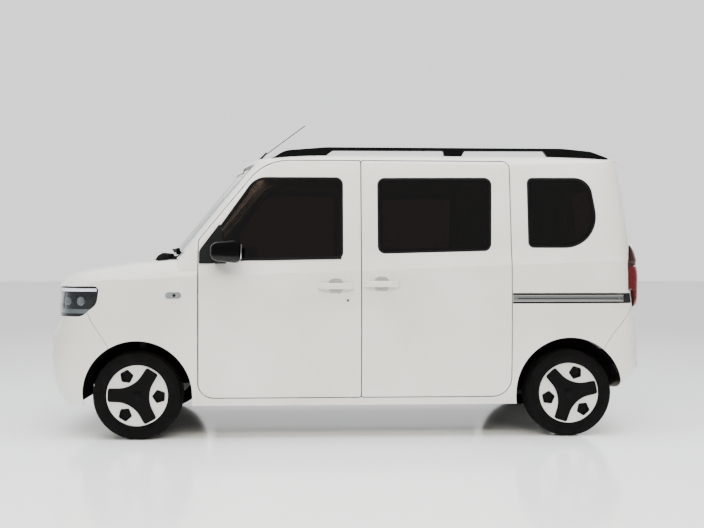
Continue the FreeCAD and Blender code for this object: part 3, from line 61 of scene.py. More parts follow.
lens = bpy.data.cameras.new("photo_camera")
lens.sensor_width = SENSOR_WIDTH
lens.lens = SENSOR_WIDTH * FOCAL_PIXELS / PHOTO_WIDTH
lens.clip_end = 200.0
camera = bpy.data.objects.new("photo_camera", lens)
camera.location = CAMERA_SPOT
camera.rotation_euler = (math.radians(90) + CAMERA_PITCH, 0, -CAMERA_YAW)
scene.collection.objects.link(camera)
scene.camera = camera


# Materials.
def colour(hex_code):
    """Linear colour of an sRGB hex value."""
    parts = [int(hex_code[i:i + 2], 16) / 255 for i in (1, 3, 5)]
    return [p / 12.92 if p <= 0.04045 else ((p + 0.055) / 1.055) ** 2.4 for p in parts] + [1.0]


def put(thing, **values):
    """Sets properties of a thing and returns it."""
    for name, value in values.items():
        setattr(thing, name, value)
    return thing


def add(tree, kind, links=None, **settings):
    """Adds a node, sets its fields and sockets, and links the sockets given another node's output."""
    made = put(tree.nodes.new(kind), **settings)
    for socket, value in (links or {}).items():
        if isinstance(value, bpy.types.NodeSocket):
            tree.links.new(value, made.inputs[socket])
        else:
            made.inputs[socket].default_value = value
    return made


def finish_of(name, base, roughness, **sockets):
    """Material with one Principled shader; returns it with its tree and shader."""
    made = bpy.data.materials.new(name)
    made.use_nodes = True
    tree = made.node_tree
    shader = tree.nodes["Principled BSDF"]
    shader.inputs["Base Color"].default_value = colour(base)
    shader.inputs["Roughness"].default_value = roughness
    for socket, value in sockets.items():
        shader.inputs[socket.replace("_", " ")].default_value = value
    return made, tree, shader


def noise_of(tree, size_mm, detail):
    """Noise of a real size in millimetres, read in the piece's own space."""
    place = add(tree, "ShaderNodeTexCoord")
    return add(tree, "ShaderNodeTexNoise",
               {"Vector": place.outputs["Object"], "Scale": 1000 / size_mm, "Detail": detail})


def grained(made, tree, shader, grain_mm, depth_mm, strength=0.4):
    """Moulded grain or orange peel of a real size and depth."""
    noise = noise_of(tree, grain_mm, 2.0)
    bump = add(tree, "ShaderNodeBump",
               {"Height": noise.outputs["Fac"], "Strength": strength, "Distance": depth_mm / 1000})
    tree.links.new(bump.outputs["Normal"], shader.inputs["Normal"])
    return made


def mottled(made, tree, shader, base, other, patch_mm):
    """Slow change of colour between two hex values over patches of a real size."""
    noise = noise_of(tree, patch_mm, 4.0)
    ramp = add(tree, "ShaderNodeValToRGB", {"Fac": noise.outputs["Fac"]})
    ramp.color_ramp.elements[0].position, ramp.color_ramp.elements[1].position = 0.35, 0.7
    ramp.color_ramp.elements[0].color, ramp.color_ramp.elements[1].color = colour(base), colour(other)
    tree.links.new(ramp.outputs["Color"], shader.inputs["Base Color"])


def woven(made, tree, shader, thread_mm, base, other):
    """Plain weave of two thread colours with its own relief, drawn coarser than real so that it shows."""
    place = add(tree, "ShaderNodeTexCoord")
    scale = 1000 / thread_mm
    across = add(tree, "ShaderNodeTexWave", {"Vector": place.outputs["Object"], "Scale": scale / FULL_TURN},
                 wave_type="BANDS", bands_direction="DIAGONAL")
    checks = add(tree, "ShaderNodeTexChecker",
                 {"Vector": place.outputs["Object"], "Scale": scale, "Color1": colour(base),
                  "Color2": colour(other)})
    bump = add(tree, "ShaderNodeBump",
               {"Height": across.outputs["Fac"], "Strength": 0.5, "Distance": thread_mm * 0.2 / 1000})
    tree.links.new(checks.outputs["Color"], shader.inputs["Base Color"])
    tree.links.new(bump.outputs["Normal"], shader.inputs["Normal"])
    return made


def moulded(name, base, roughness, grain_mm, depth_mm, strength=0.4, patches=None, **sockets):
    """Material with a grain of its own and, where it has patches of two tones, their colours and size."""
    parts = finish_of(name, base, roughness, **sockets)
    if patches:
        mottled(*parts, *patches)
    return grained(*parts, grain_mm, depth_mm, strength)


def smooth(name, base, roughness, **sockets):
    """Material without a grain."""
    return finish_of(name, base, roughness, **sockets)[0]


# Pearl white automotive lacquer: warm white base and mica under a clear coat, whose slight orange peel breaks long
# reflections. The mica shows as a faint change of tone over the panels.
pearl = moulded("pearl_white_lacquer", "#E4E1DA", 0.30, 8.0, 0.010, 0.2, ("#DFDCD2", "#E8E6DF", 420.0), Metallic=0.10,
                Coat_Weight=1.0, Coat_Roughness=0.04)
# Unpainted polypropylene, moulded with a fine leather grain, drawn coarser than real so that it shows.
grained_black = moulded("grained_polypropylene", "#121314", 0.55, 2.5, 0.25, Specular_IOR_Level=0.3)
# Black lacquered housing of the door mirrors: glossy, with little haze.
mirror_black = moulded("black_lacquered_abs", "#030303", 0.12, 30.0, 0.01, 0.1, Specular_IOR_Level=0.22)
# Pearl white lacquer darkened to grey as painted shade for the finger hollows, where shadow falls; a little duller
# from handling.
pearl_painted_shade = moulded("painted_shade_pearl_lacquer", "#A9A7A1", 0.4, 8.0, 0.01, 0.2, Coat_Weight=0.6)
# Piano-black ABS: deep black with sharp reflections.
gloss_black = moulded("piano_black_abs", "#040405", 0.06, 30.0, 0.01, 0.1, Coat_Weight=0.3)
# Satin black ABS: the stars and pockets of the wheel covers, with an even dull sheen.
satin_black = moulded("satin_black_abs", "#050404", 0.5, 2.0, 0.05, 0.3, Specular_IOR_Level=0.12)
# Roof rails: extruded tube in satin black powder coat.
coated_rail = moulded("powder_coated_tube", "#060707", 0.5, 1.5, 0.03, Specular_IOR_Level=0.14)
# Extruded EPDM seal: dark rubber with a slight gloss.
seal_rubber = moulded("epdm_seal", "#0C0C0D", 0.42, 4.0, 0.05, 0.2, Specular_IOR_Level=0.35)
# Privacy glass: brown-grey body tint so strong that the cabin hardly shows.
privacy_glass = smooth("privacy_glass", "#4A3B32", 0.0, IOR=1.5, Transmission_Weight=1.0)
# Laminated windscreen: nearly clear, with the faint green of its iron.
clear_glass = smooth("laminated_windscreen", "#D9E2DE", 0.0, IOR=1.5, Transmission_Weight=1.0)
# Screen-printed enamel round bonded glass: flat black.
frit = moulded("ceramic_frit", "#070707", 0.3, 1.0, 0.01)
# Polycarbonate lamp lens, hard-coated and clear.
lamp_lens = smooth("polycarbonate_lens", "#E8EDF0", 0.0, IOR=1.58, Transmission_Weight=1.0)
# Smoked inner parts of a headlamp: dark metallised plastic.
smoked_bowl = moulded("smoked_lamp_bezel", "#26282B", 0.3, 3.0, 0.05, Metallic=0.6)
# Aluminised reflector of a lamp, under lacquer.
lamp_chrome = smooth("aluminised_reflector", "#AEB2B6", 0.28, Metallic=0.75)
# Lit light guide of the daytime lamp: frosted acrylic.
light_bar = smooth("frosted_light_guide", "#F4F8FA", 0.25, Emission_Color=colour("#F4F8FF"),
                   Emission_Strength=1.1)
# Red acrylic lens of the tail lamps: deep colour that goes dark where it is thick.
red_lens = smooth("red_acrylic_lens", "#5C060B", 0.04, IOR=1.49, Transmission_Weight=0.25,
                  Coat_Weight=0.5)
dark_red_lens = smooth("smoked_red_lens", "#2C0608", 0.05, IOR=1.49, Coat_Weight=0.5)
# Second-surface mirror: silver behind clear glass.
silvered_glass = smooth("silvered_glass", "#DCE2E6", 0.02, Metallic=1.0)
# Chromed zinc: lock barrels and head restraint posts.
bright_metal = smooth("chromed_zinc", "#B9BDC1", 0.16, Metallic=1.0)
# Tyre rubber: carbon black, a little grey where it has been rolled and brushed by dust.
rubber = moulded("tyre_rubber", "#0D0D0D", 0.8, 3.0, 0.2, patches=("#0A0A0A", "#100F0F", 60.0),
                 Specular_IOR_Level=0.1)
# White-silver wheel lacquer over moulded ABS: fine flake, satin clear coat.
silver = moulded("white_silver_lacquer", "#DCDBD6", 0.34, 1.5, 0.01, Metallic=0.25, Coat_Weight=0.4)
# Electrocoated steel under the body, dusty.
black_steel = moulded("electrocoated_steel", "#161617", 0.55, 4.0, 0.2, patches=("#131314", "#1D1C1B", 80.0),
                      Metallic=0.2)
# Rubberised underseal in the arches and under the floor: dull and pebbled.
underseal = moulded("rubberised_underseal", "#060606", 0.9, 3.0, 0.5, Specular_IOR_Level=0.15)
# Cast aluminium of the drive unit, the battery's case and the brake drums.
case_metal = moulded("cast_aluminium_case", "#8A8D90", 0.48, 3.0, 0.2, Metallic=0.9)
# Drawn aluminium of the slide rails: bright along its length.
slide_metal = moulded("drawn_aluminium_rail", "#A4A7A8", 0.3, 1.0, 0.01, Metallic=1.0)
# Interior polypropylene with a soft moulded grain, and the lighter one of the dashboard's tray.
trim_plastic = moulded("interior_polypropylene", "#2A2725", 0.6, 2.0, 0.2)
pale_trim = moulded("pale_interior_polypropylene", "#8C857B", 0.62, 2.0, 0.2)
# Needled headlining felt and tufted carpet.
headlining = moulded("needled_felt", "#B9B4AB", 0.95, 3.0, 0.4, Sheen_Weight=0.2)
carpet = moulded("tufted_carpet", "#1B1A1A", 1.0, 4.0, 1.2, 0.8, Sheen_Weight=0.3)
# Woven seat cloth with lighter threads; the head restraints are vinyl.
seat_cloth = woven(*finish_of("woven_seat_cloth", "#34302D", 0.9, Sheen_Weight=0.3), 2.6, "#2A2624",
                   "#45403B")
seat_vinyl = moulded("embossed_seat_vinyl", "#23201F", 0.5, 3.0, 0.25)
# Liquid-crystal screens, switched off.
dark_screen = smooth("unlit_lcd_glass", "#050607", 0.05, Coat_Weight=1.0)

FINISHES = {
    "paint": pearl, "black_trim": grained_black, "gloss_black": gloss_black, "glass": privacy_glass,
    "lamp_clear": smoked_bowl, "lamp_red": red_lens, "tyre": rubber, "wheel": silver, "steel": black_steel,
    "structure": underseal, "seat": seat_cloth, "inside": trim_plastic, "battery": case_metal,
}
for part in frame["record"]["subparts"]:
    node = nodes[part["node"]]
    node.data.materials.clear()
    node.data.materials.append(FINISHES[part["material_slot"]])
nodes["windscreen"].data.materials[0] = clear_glass
nodes["slide_rails"].data.materials[0] = slide_metal
nodes["roof_rails"].data.materials[0] = coated_rail

# Coats: the finish of a piece with the slot that it belongs to.
SEAL = (seal_rubber, "black_trim")
TRIM = (grained_black, "black_trim")
SATIN_TRIM = (satin_black, "black_trim")
GLOSS = (gloss_black, "gloss_black")
COVER = (satin_black, "gloss_black")
HOUSING = (mirror_black, "gloss_black")
SCREEN = (dark_screen, "gloss_black")
ENAMEL = (frit, "glass")
SILVERED = (silvered_glass, "glass")
LENS = (lamp_lens, "lamp_clear")
REFLECTOR = (lamp_chrome, "lamp_clear")
RED = (red_lens, "lamp_red")
DARK_RED = (dark_red_lens, "lamp_red")
BRIGHT = (bright_metal, "steel")
STEEL = (black_steel, "steel")
CABIN = (trim_plastic, "inside")
CABIN_BLACK = (grained_black, "inside")
CABIN_SATIN = (satin_black, "inside")

# Stage: a pale polished floor, and soft light from above and in front. The world is bright only behind the car, so
# that the windows reflect a dark room.
stage_mesh = bmesh.new()
bmesh.ops.create_grid(stage_mesh, x_segments=1, y_segments=1, size=60.0)
floor_data = bpy.data.meshes.new("studio_floor")
stage_mesh.to_mesh(floor_data)
stage_mesh.free()
floor = bpy.data.objects.new("studio_floor", floor_data)
scene.collection.objects.link(floor)
floor_data.materials.append(moulded("polished_pale_floor", "#FAFBF8", 0.14, 400.0, 0.2, 0.1))

world = bpy.data.worlds.new("studio")
world.use_nodes = True
sky = world.node_tree
toward = add(sky, "ShaderNodeTexCoord")
axes = add(sky, "ShaderNodeSeparateXYZ", {"Vector": toward.outputs["Generated"]})
depth = add(sky, "ShaderNodeMapRange",
            {"Value": axes.outputs["Y"], "From Min": 0.15, "From Max": 0.8, "To Min": 0.36, "To Max": 1.55})
backdrop = sky.nodes["Background"]
backdrop.inputs["Color"].default_value = colour("#F2F4F3")
sky.links.new(depth.outputs["Result"], backdrop.inputs["Strength"])
scene.world = world


def softbox(name, spot, target, width, depth, power, tone):
    """Large area light that lights the paint but doesn't show as a rectangle in the glass."""
    light = put(bpy.data.lights.new(name, "AREA"), shape="RECTANGLE", size=width, size_y=depth, energy=power,
                color=colour(tone)[:3])
    turn = (Vector(target) - Vector(spot)).to_track_quat("-Z", "Y").to_euler()
    lamp = put(bpy.data.objects.new(name, light), location=spot, rotation_euler=turn, visible_glossy=False)
    scene.collection.objects.link(lamp)


softbox("ceiling_softbox", (0.0, -1.2, 5.0), (0.0, 0.0, 0.0), 9.0, 3.2, 700.0, "#EEF4FF")
softbox("front_softbox", (-0.4, -6.0, 5.0), (0.0, 0.0, 0.7), 9.0, 2.2, 640.0, "#FFF8EA")
softbox("rear_softbox", (0.6, 7.0, 4.4), (0.0, 0.0, 0.6), 8.0, 2.5, 240.0, "#FFFFFF")

# Piece makers. A view turns (across, up) in metres into a point off the car, and gives the way that one looks.
PLACES = {
    "side": (lambda a, b: (a, -1.3, b), Vector((0, 1, 0))),
    "front": (lambda a, b: (-2.3, a, b), Vector((1, 0, 0))),
    "rear": (lambda a, b: (2.3, a, b), Vector((-1, 0, 0))),
    "top": (lambda a, b: (a, b, 2.5), Vector((0, 0, -1))),
    "below": (lambda a, b: (a, b, 0.9), Vector((0, 0, 1))),
    "inner": (lambda a, b: (a, -0.2, b), Vector((0, -1, 0))),
}
# Distances in metres at which corners count as one, in a piece and in a CAD mesh, or as lying on a cut.
MERGE, CAD_MERGE, CUT_TOLERANCE = 1e-5, 2e-6, 1e-6
SMOOTH_ANGLE = math.radians(38.0)


def surface(view, *names):
    """A view and a search tree over CAD nodes, for laying pieces on what it shows of them."""
    whole = bmesh.new()
    for name in names:
        whole.from_mesh(nodes[name].data)
    tree = BVHTree.FromBMesh(whole)
    whole.free()
    return view, tree


def hit_on(seen, across, up):
    """Point and normal of a surface at a place of its view, in metres."""
    place, way = PLACES[seen[0]]
    return seen[1].ray_cast(Vector(place(across * MM, up * MM)), way)[:2]


def rect(low_a, low_b, high_a, high_b, radius):
    """Corners of a rounded rectangle between two corners."""
    return ((low_a, low_b, radius), (low_a, high_b, radius), (high_a, high_b, radius), (high_a, low_b, radius))


def oblong(across, up, width, height, radius):
    """Corners of a rounded rectangle about a middle."""
    a, b = width / 2, height / 2
    return rect(across - a, up - b, across + a, up + b, radius)


def outline(view, corners, segments=6):
    """Flat face through corners (across, up, radius), in millimetres, as one of the views shows them."""
    bm = bmesh.new()
    place = PLACES[view][0]
    spots = [Vector(place(a * MM, b * MM)) for a, b, radius in corners]
    verts = [bm.verts.new(spot) for spot in spots]
    bm.faces.new(verts)
    for i, (a, b, radius) in enumerate(corners):
        if radius:
            ways = [(spots[i - 1] - spots[i]).normalized(), (spots[(i + 1) % len(spots)] - spots[i]).normalized()]
            reach = radius * MM / math.tan(ways[0].angle(ways[1]) / 2)
            bmesh.ops.bevel(bm, geom=[verts[i]], offset=reach, affect="VERTICES", segments=segments,
                            profile=0.5, material=-1)
    return bm


def inset(bm, width):
    """Insets the outline by a width and returns the faces inside."""
    inner = bm.faces[:]
    bmesh.ops.inset_region(bm, faces=inner, thickness=width * MM, use_even_offset=True, use_boundary=True)
    return inner


def split(bm, axis, at, sign=1, one_side=False):
    """Cuts a mesh by a plane across an axis, at a place in metres, and can drop what lies past it."""
    spot, normal = Vector((0, 0, 0)), Vector((0, 0, 0))
    spot[axis], normal[axis] = at, sign
    bmesh.ops.bisect_plane(bm, geom=bm.verts[:] + bm.edges[:] + bm.faces[:], dist=CUT_TOLERANCE, plane_co=spot,
                           plane_no=normal, clear_outer=one_side)


def cut_grid(bm, view, step):
    """Cuts a flat piece into squares, so that it can follow a curved surface."""
    way = PLACES[view][1]
    for axis in (0, 1, 2):
        if way[axis]:
            continue
        low = min(v.co[axis] for v in bm.verts)
        high = max(v.co[axis] for v in bm.verts)
        count = int((high - low) / (step * MM))
        for i in range(1, count + 1):
            split(bm, axis, low + (high - low) * i / (count + 1))
    return bm


def drape(bm, view, tree, lift, step):
    """Lays a flat piece on a surface, lifted off it by some millimetres."""
    cut_grid(bm, view, step)
    way = PLACES[view][1]
    for vert in bm.verts:
        hit = tree.ray_cast(vert.co, way)[0] or tree.find_nearest(vert.co + way)[0]
        for axis in (0, 1, 2):
            if way[axis]:
                vert.co[axis] = hit[axis] - way[axis] * lift * MM
    return bm


def doubled(bm):
    """Adds a second copy of a sheet, joined to it at its edge, and returns the copy's corners."""
    grown = bmesh.ops.extrude_face_region(bm, geom=bm.faces[:], use_keep_orig=True)["geom"]
    return [g for g in grown if isinstance(g, bmesh.types.BMVert)]


def slab(bm, view, thickness):
    """Gives a sheet its thickness inwards, away from the viewer."""
    outwards(bm)
    bmesh.ops.translate(bm, verts=doubled(bm), vec=PLACES[view][1] * thickness * MM)
    return bm


def bar(corners, start, width):
    """Bar across the car with one outline in side view, from a distance off the middle."""
    bm = outline("side", corners)
    for vert in bm.verts:
        vert.co.y = start * MM
    return slab(bm, "side", width)


def moved(bm, vec):
    """Moves a mesh by a vector in metres."""
    bmesh.ops.translate(bm, verts=bm.verts[:], vec=vec)
    return bm


def outwards(bm):
    """Turns all faces outwards."""
    bmesh.ops.recalc_face_normals(bm, faces=bm.faces[:])
    return bm


def joined(whole, other):
    """One bmesh out of two."""
    holder = bpy.data.meshes.new("joining")
    other.to_mesh(holder)
    other.free()
    whole.from_mesh(holder)
    bpy.data.meshes.remove(holder)
    return whole


def piece(name, bm, coat, body="body", edge=0.0, sharp=35.0, levels=0):
    """Object from a bmesh: merged, faces outwards, shaded smooth but for its sharp edges, riding on a body."""
    finish, slot = coat
    bmesh.ops.remove_doubles(bm, verts=bm.verts[:], dist=MERGE)
    mesh = bpy.data.meshes.new(name)
    outwards(bm).to_mesh(mesh)
    bm.free()
    mesh.polygons.foreach_set("use_smooth", [True] * len(mesh.polygons))
    mesh.set_sharp_from_angle(angle=math.radians(sharp))
    mesh.materials.append(finish)
    made = bpy.data.objects.new(name, mesh)
    scene.collection.objects.link(made)
    if edge:
        put(made.modifiers.new("rounding", "BEVEL"), width=edge * MM, segments=2, limit_method="ANGLE",
            angle_limit=math.radians(sharp))
    if levels:
        put(made.modifiers.new("surface", "SUBSURF"), levels=levels, render_levels=levels)
    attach(made, body)
    return made


def pair(name, bm, coat, body="body", **details):
    """The left piece and its mirror image; %s in the name or body becomes left and right."""
    other = bm.copy()
    bmesh.ops.scale(other, vec=(1, -1, 1), verts=other.verts[:])
    bmesh.ops.reverse_faces(other, faces=other.faces[:])
    return [piece(name.replace("%s", side), half, coat, body.replace("%s", side), **details)
            for side, half in zip(SIDES, (bm, other))]


def laid(corners, seen, lift, step, thickness, band=0.0, segments=6):
    """Outline, or a band inside it, laid on a surface and given its thickness."""
    view, tree = seen
    face = outline(view, corners, segments)
    if band:
        bmesh.ops.delete(face, geom=inset(face, band), context="FACES")
    return slab(drape(face, view, tree, lift, step), view, thickness)


def lay(name, corners, seen, fit, coat, edge=0.0, body="body"):
    """Piece of one thickness on a surface, or a pair where its name has %s.

    fit is the lift, the step between cuts and the thickness, in millimetres, and where the piece has them the width
    of a band inside the outline and the number of steps round a corner.
    """
    make = pair if "%s" in name else piece
    make(name, laid(corners, seen, *fit), coat, body, edge=edge)


def take_place(pieces, name):
    """A left and a right piece replace the two CAD nodes of one name."""
    for made, side in zip(pieces, SIDES):
        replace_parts(made, name + side)


def rounded_box(low, high, edge, segments=3):
    """Box between two corners with rounded edges, in millimetres."""
    bm = bmesh.new()
    bmesh.ops.create_cube(bm, size=1.0)
    bmesh.ops.scale(bm, vec=[(b - a) * MM for a, b in zip(low, high)], verts=bm.verts[:])
    moved(bm, [(a + b) / 2 * MM for a, b in zip(low, high)])
    bmesh.ops.bevel(bm, geom=bm.edges[:], offset=edge * MM, affect="EDGES", segments=segments, profile=0.5,
                    material=-1)
    return bm


def box_at(spot, low, high, edge, segments):
    """Rounded box given from a point."""
    return rounded_box(spot + Vector(low), spot + Vector(high), edge, segments)


def leaned(bm, foot, share, shift=0.0):
    """Leans a piece along the car by a share of its height above a foot, in metres."""
    for vert in bm.verts:
        vert.co.x += (vert.co.z - foot) * share + shift
    return bm


def barrel(start, end, radius, end_radius=None, segments=24, edge=0.0):
    """Closed cone or cylinder between two points, with its rims rounded."""
    start, end = Vector(start) * MM, Vector(end) * MM
    way = end - start
    bm = bmesh.new()
    bmesh.ops.create_cone(bm, cap_ends=True, segments=segments, radius1=radius * MM,
                          radius2=(radius if end_radius is None else end_radius) * MM, depth=way.length)
    if edge:
        # Only the end faces have more than four corners.
        rims = [e for e in bm.edges if any(len(f.verts) > 4 for f in e.link_faces)]
        bmesh.ops.bevel(bm, geom=rims, offset=edge * MM, affect="EDGES", segments=2, profile=0.5, material=-1)
    turn = way.to_track_quat("Z", "Y").to_matrix().to_4x4()
    bmesh.ops.transform(bm, matrix=Matrix.Translation((start + end) / 2) @ turn, verts=bm.verts[:])
    return bm


def swept(points, radius):
    """Rod of a round section along a smooth line through given points, in millimetres."""
    line = put(bpy.data.curves.new("line", "CURVE"), dimensions="3D", bevel_depth=radius * MM, bevel_resolution=2,
               use_fill_caps=True)
    spline = line.splines.new("NURBS")
    spline.points.add(len(points) - 1)
    for spot, point in zip(points, spline.points):
        point.co = (*(Vector(spot) * MM), 1.0)
    put(spline, order_u=3, use_endpoint_u=True, resolution_u=6)
    holder = bpy.data.objects.new("line", line)
    mesh = bpy.data.meshes.new_from_object(holder)
    bm = bmesh.new()
    bm.from_mesh(mesh)
    bpy.data.objects.remove(holder)
    bpy.data.curves.remove(line)
    bpy.data.meshes.remove(mesh)
    return bm


def skin_of(name, seed, ahead=0.0, aside=0.0):
    """The faces of a CAD node that run on smoothly from the one nearest to a point, moved inwards."""
    bm = bmesh.new()
    bm.from_mesh(nodes[name].data)
    bmesh.ops.remove_doubles(bm, verts=bm.verts[:], dist=CAD_MERGE)
    seed = Vector(seed) * MM
    bm.faces.ensure_lookup_table()
    first = min(bm.faces, key=lambda f: (f.calc_center_median() - seed).length)
    reached, open_faces = {first}, [first]
    while open_faces:
        face = open_faces.pop()
        for edge in face.edges:
            if len(edge.link_faces) == 2 and edge.calc_face_angle(math.pi) < SMOOTH_ANGLE:
                for other in edge.link_faces:
                    if other not in reached:
                        reached.add(other)
                        open_faces.append(other)
    bmesh.ops.delete(bm, geom=[f for f in bm.faces if f not in reached], context="FACES")
    return moved(bm, (ahead * MM, aside * MM, 0))


def between(bm, axis, low, high):
    """Keeps the part of a sheet between two planes, in millimetres."""
    split(bm, axis, low * MM, -1, True)
    split(bm, axis, high * MM, 1, True)
    return bm


def walled(bm, thickness):
    """Gives a curved sheet its thickness inwards along its own normals."""
    bmesh.ops.solidify(bm, geom=bm.faces[:], thickness=thickness * MM)
    return bm


# Wheels and tyres, turned about the axle; the cover's star and pockets turn with them. Each has its place, its side
# and the angle that its star stands at.
FRONT_AXLE, REAR_AXLE = -1245.0, 1355.0
WHEEL_Y, AXLE_Z = 655.0, 264.0
WHEELS = (
    ("front_left", FRONT_AXLE, -1, 58.0), ("front_right", FRONT_AXLE, 1, 20.0),
    ("rear_left", REAR_AXLE, -1, 12.0), ("rear_right", REAR_AXLE, 1, 75.0),
)
# Half of the tyre's section as (radius, distance from the centre plane), from the bead to the middle of the tread.
TYRE_SECTION = (
    (166, 55), (172, 58), (183, 64), (188, 69), (198, 74), (206, 76.6), (208, 75.8), (222, 76.8), (224, 77.4),
    (226, 76.8), (238, 74), (248, 69), (251, 69.4), (253, 67), (257, 62), (259, 57), (260.5, 50), (260.5, 36),
    (255, 35), (255, 29), (260.5, 28), (260.5, 15), (255, 14), (255, 8), (260.5, 7),
)
TREAD_STEPS, DRUM_STEPS = 90, 64
# Ribs of the tread: the radius in metres that their faces lie beyond, the groove round a block and its height, and
# how far a face may lean.
RIB_RADIUS, GROOVE, BLOCK_HEIGHT, MOST_TILT = 0.2595 * 0.998, 1.3, 3.2, 0.2
# Star of the cover: reach and half swing of an arm's end, the valley between two arms, and their roundings.
STAR_REACH, STAR_SWING, STAR_ROUND, VALLEY, VALLEY_ROUND = 176.7, 13.0, 14.0, 50.4, 150.0
# Distances of the cover's faces from the wheel's middle, and how deep its pieces are let into it.
STAR_FACE, COVER_FACE, POCKET_FLOOR, LET_IN = 75.2, 71.0, 59.3, 0.6
POCKET_CIRCLE, POCKET_RADIUS, POCKET_ROUND, POCKET_RIM = 130.0, 42.5, 9.0, 3.0
VALVE_CIRCLE = 158.0
# Brake drum behind the wheel, as (radius, distance inwards from the wheel's middle).
DRUM_SECTION = ((26, 8), (100, 8), (106, 14), (106, 44), (102, 50), (62, 54), (26, 54))


def turned(section, steps, centre_x, centre_y):
    """Ring turned about an axle from a closed section of (radius, distance) points, in millimetres."""
    bm = bmesh.new()
    verts = [bm.verts.new((centre_x * MM, (centre_y + y) * MM, (AXLE_Z + r) * MM)) for r, y in section]
    edges = [bm.edges.new((verts[i], verts[(i + 1) % len(verts)])) for i in range(len(verts))]
    bmesh.ops.spin(bm, geom=verts + edges, cent=(centre_x * MM, 0, AXLE_Z * MM), axis=(0, 1, 0),
                   angle=math.radians(360), steps=steps, use_merge=True)
    return outwards(bm)


def tread_blocks(bm, centre_x):
    """Raises a block on each face of the ribs and the shoulders."""
    axle = Vector((centre_x * MM, 0, AXLE_Z * MM))
    ribs = []
    for face in bm.faces:
        middle = face.calc_center_median() - axle
        outward = abs(face.normal.y) < MOST_TILT and face.normal.dot(middle) > 0
        if math.hypot(middle.x, middle.z) > RIB_RADIUS and outward:
            ribs.append(face)
    bmesh.ops.inset_individual(bm, faces=ribs, thickness=GROOVE * MM, depth=BLOCK_HEIGHT * MM, use_even_offset=True)
    return bm


def polar(reach, degrees):
    """Point (across, up) at a distance and an angle."""
    return reach * math.cos(math.radians(degrees)), reach * math.sin(math.radians(degrees))


def star_corners(turn):
    """Corners of the cover's three-armed star as (across, up, radius) about the hub."""
    corners = []
    for arm in (0, 120, 240):
        corners.append((*polar(STAR_REACH, turn + arm - STAR_SWING), STAR_ROUND))
        corners.append((*polar(STAR_REACH, turn + arm + STAR_SWING), STAR_ROUND))
        corners.append((*polar(VALLEY, turn + arm + 60), VALLEY_ROUND))
    return corners


def pocket_corners(turn):
    """Corners of a five-sided pocket between two arms."""
    across, up = polar(POCKET_CIRCLE, turn)
    corners = []
    for corner in range(5):
        a, b = polar(POCKET_RADIUS, turn + 180 + 72 * corner)
        corners.append((across + a, up + b, POCKET_ROUND))
    return corners


def at_wheel(bm, x, side, face_at):
    """Moves a piece drawn in side view about the origin, outer face first, to a depth from a wheel's middle."""
    outer = min(v.co.y for v in bm.verts)
    moved(bm, (0, -outer - face_at * MM, 0))
    if side > 0:
        bmesh.ops.scale(bm, vec=(1, -1, 1), verts=bm.verts[:])
    return moved(bm, (x * MM, side * WHEEL_Y * MM, AXLE_Z * MM))


def cup_of(corners, rim, depth):
    """Open cup with a narrow rim, from its outline in side view."""
    bm = outline("side", corners, segments=4)
    inner = inset(bm, rim)
    walls = bmesh.ops.extrude_face_region(bm, geom=inner)["geom"]
    floor_verts = [g for g in walls if isinstance(g, bmesh.types.BMVert)]
    bmesh.ops.translate(bm, verts=floor_verts, vec=(0, depth * MM, 0))
    bmesh.ops.delete(bm, geom=[f for f in inner if f.is_valid], context="FACES")
    return outwards(bm)


tyre_section = list(TYRE_SECTION) + [(r, -y) for r, y in reversed(TYRE_SECTION)]
for where, x, side, turn in WHEELS:
    wheel = "wheel_" + where
    tread = tread_blocks(turned(tyre_section, TREAD_STEPS, x, side * WHEEL_Y), x)
    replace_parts(piece("tread_" + where, tread, (rubber, "tyre"), wheel, sharp=28), "tyre_" + where)
    star = slab(outline("side", star_corners(turn), 8), "side", STAR_FACE - COVER_FACE + LET_IN)
    piece("cover_star_" + where, at_wheel(star, x, side, STAR_FACE), COVER, wheel, edge=1.6)
    cap = barrel((0, -3.2, 0), (0, 0, 0), 25, 27, segments=48, edge=1.0)
    piece("cover_cap_" + where, at_wheel(cap, x, side, STAR_FACE + 2.2), COVER, wheel)
    for pocket in (60, 180, 300):
        cup = cup_of(pocket_corners(turn + pocket), POCKET_RIM, COVER_FACE + LET_IN - POCKET_FLOOR)
        piece("cover_pocket_%s_%d" % (where, pocket), at_wheel(cup, x, side, COVER_FACE + 0.9), COVER, wheel)
    stem_a, stem_b = polar(VALVE_CIRCLE, turn + 60)
    stem = barrel((stem_a, 0, stem_b), (stem_a, -24, stem_b), 4.2, 3.2, segments=12, edge=0.6)
    piece("valve_stem_" + where, at_wheel(stem, x, side, COVER_FACE + 13), SEAL, wheel)
    drum = turned([(r, -side * y) for r, y in DRUM_SECTION], DRUM_STEPS, x, side * WHEEL_Y)
    piece("brake_drum_" + where, drum, (case_metal, "steel"), wheel, sharp=30)

# Side windows: a rubber seal round each aperture, and the black sail that carries the mirror.
panes, door_skin = surface("side", "side_glass"), surface("side", "door_front_left")
sliding_skin = surface("side", "sliding_door_left")
door_side = surface("side", "door_front_left", "door_glass_left")
FRONT_WINDOW = ((-862, 1058, 10), (-862, 1125, 60), (-548, 1573, 130), (-19, 1573, 45), (-19, 1083, 35))
SLIDING_WINDOW = ((188, 1108, 45), (188, 1570, 45), (887, 1574, 45), (875, 1126, 45))
QUARTER_WINDOW = ((1101, 1145, 35), (1103, 1575, 35), (1495, 1577, 110), (1560, 1145, 200))
for name, corners, seen, body in (("front", FRONT_WINDOW, surface("side", "door_glass_left"), "door_%s"),
                                  ("sliding", SLIDING_WINDOW, panes, "body"),
                                  ("quarter", QUARTER_WINDOW, panes, "body")):
    lay("seal_" + name + "_%s", corners, seen, (3.2, 60, 3.0, 13.0), SEAL, 0.8, body)
SAIL = ((-879, 1050, 6), (-879, 1128, 40), (-757, 1292, 8), (-742, 1240, 40), (-742, 1050, 8))
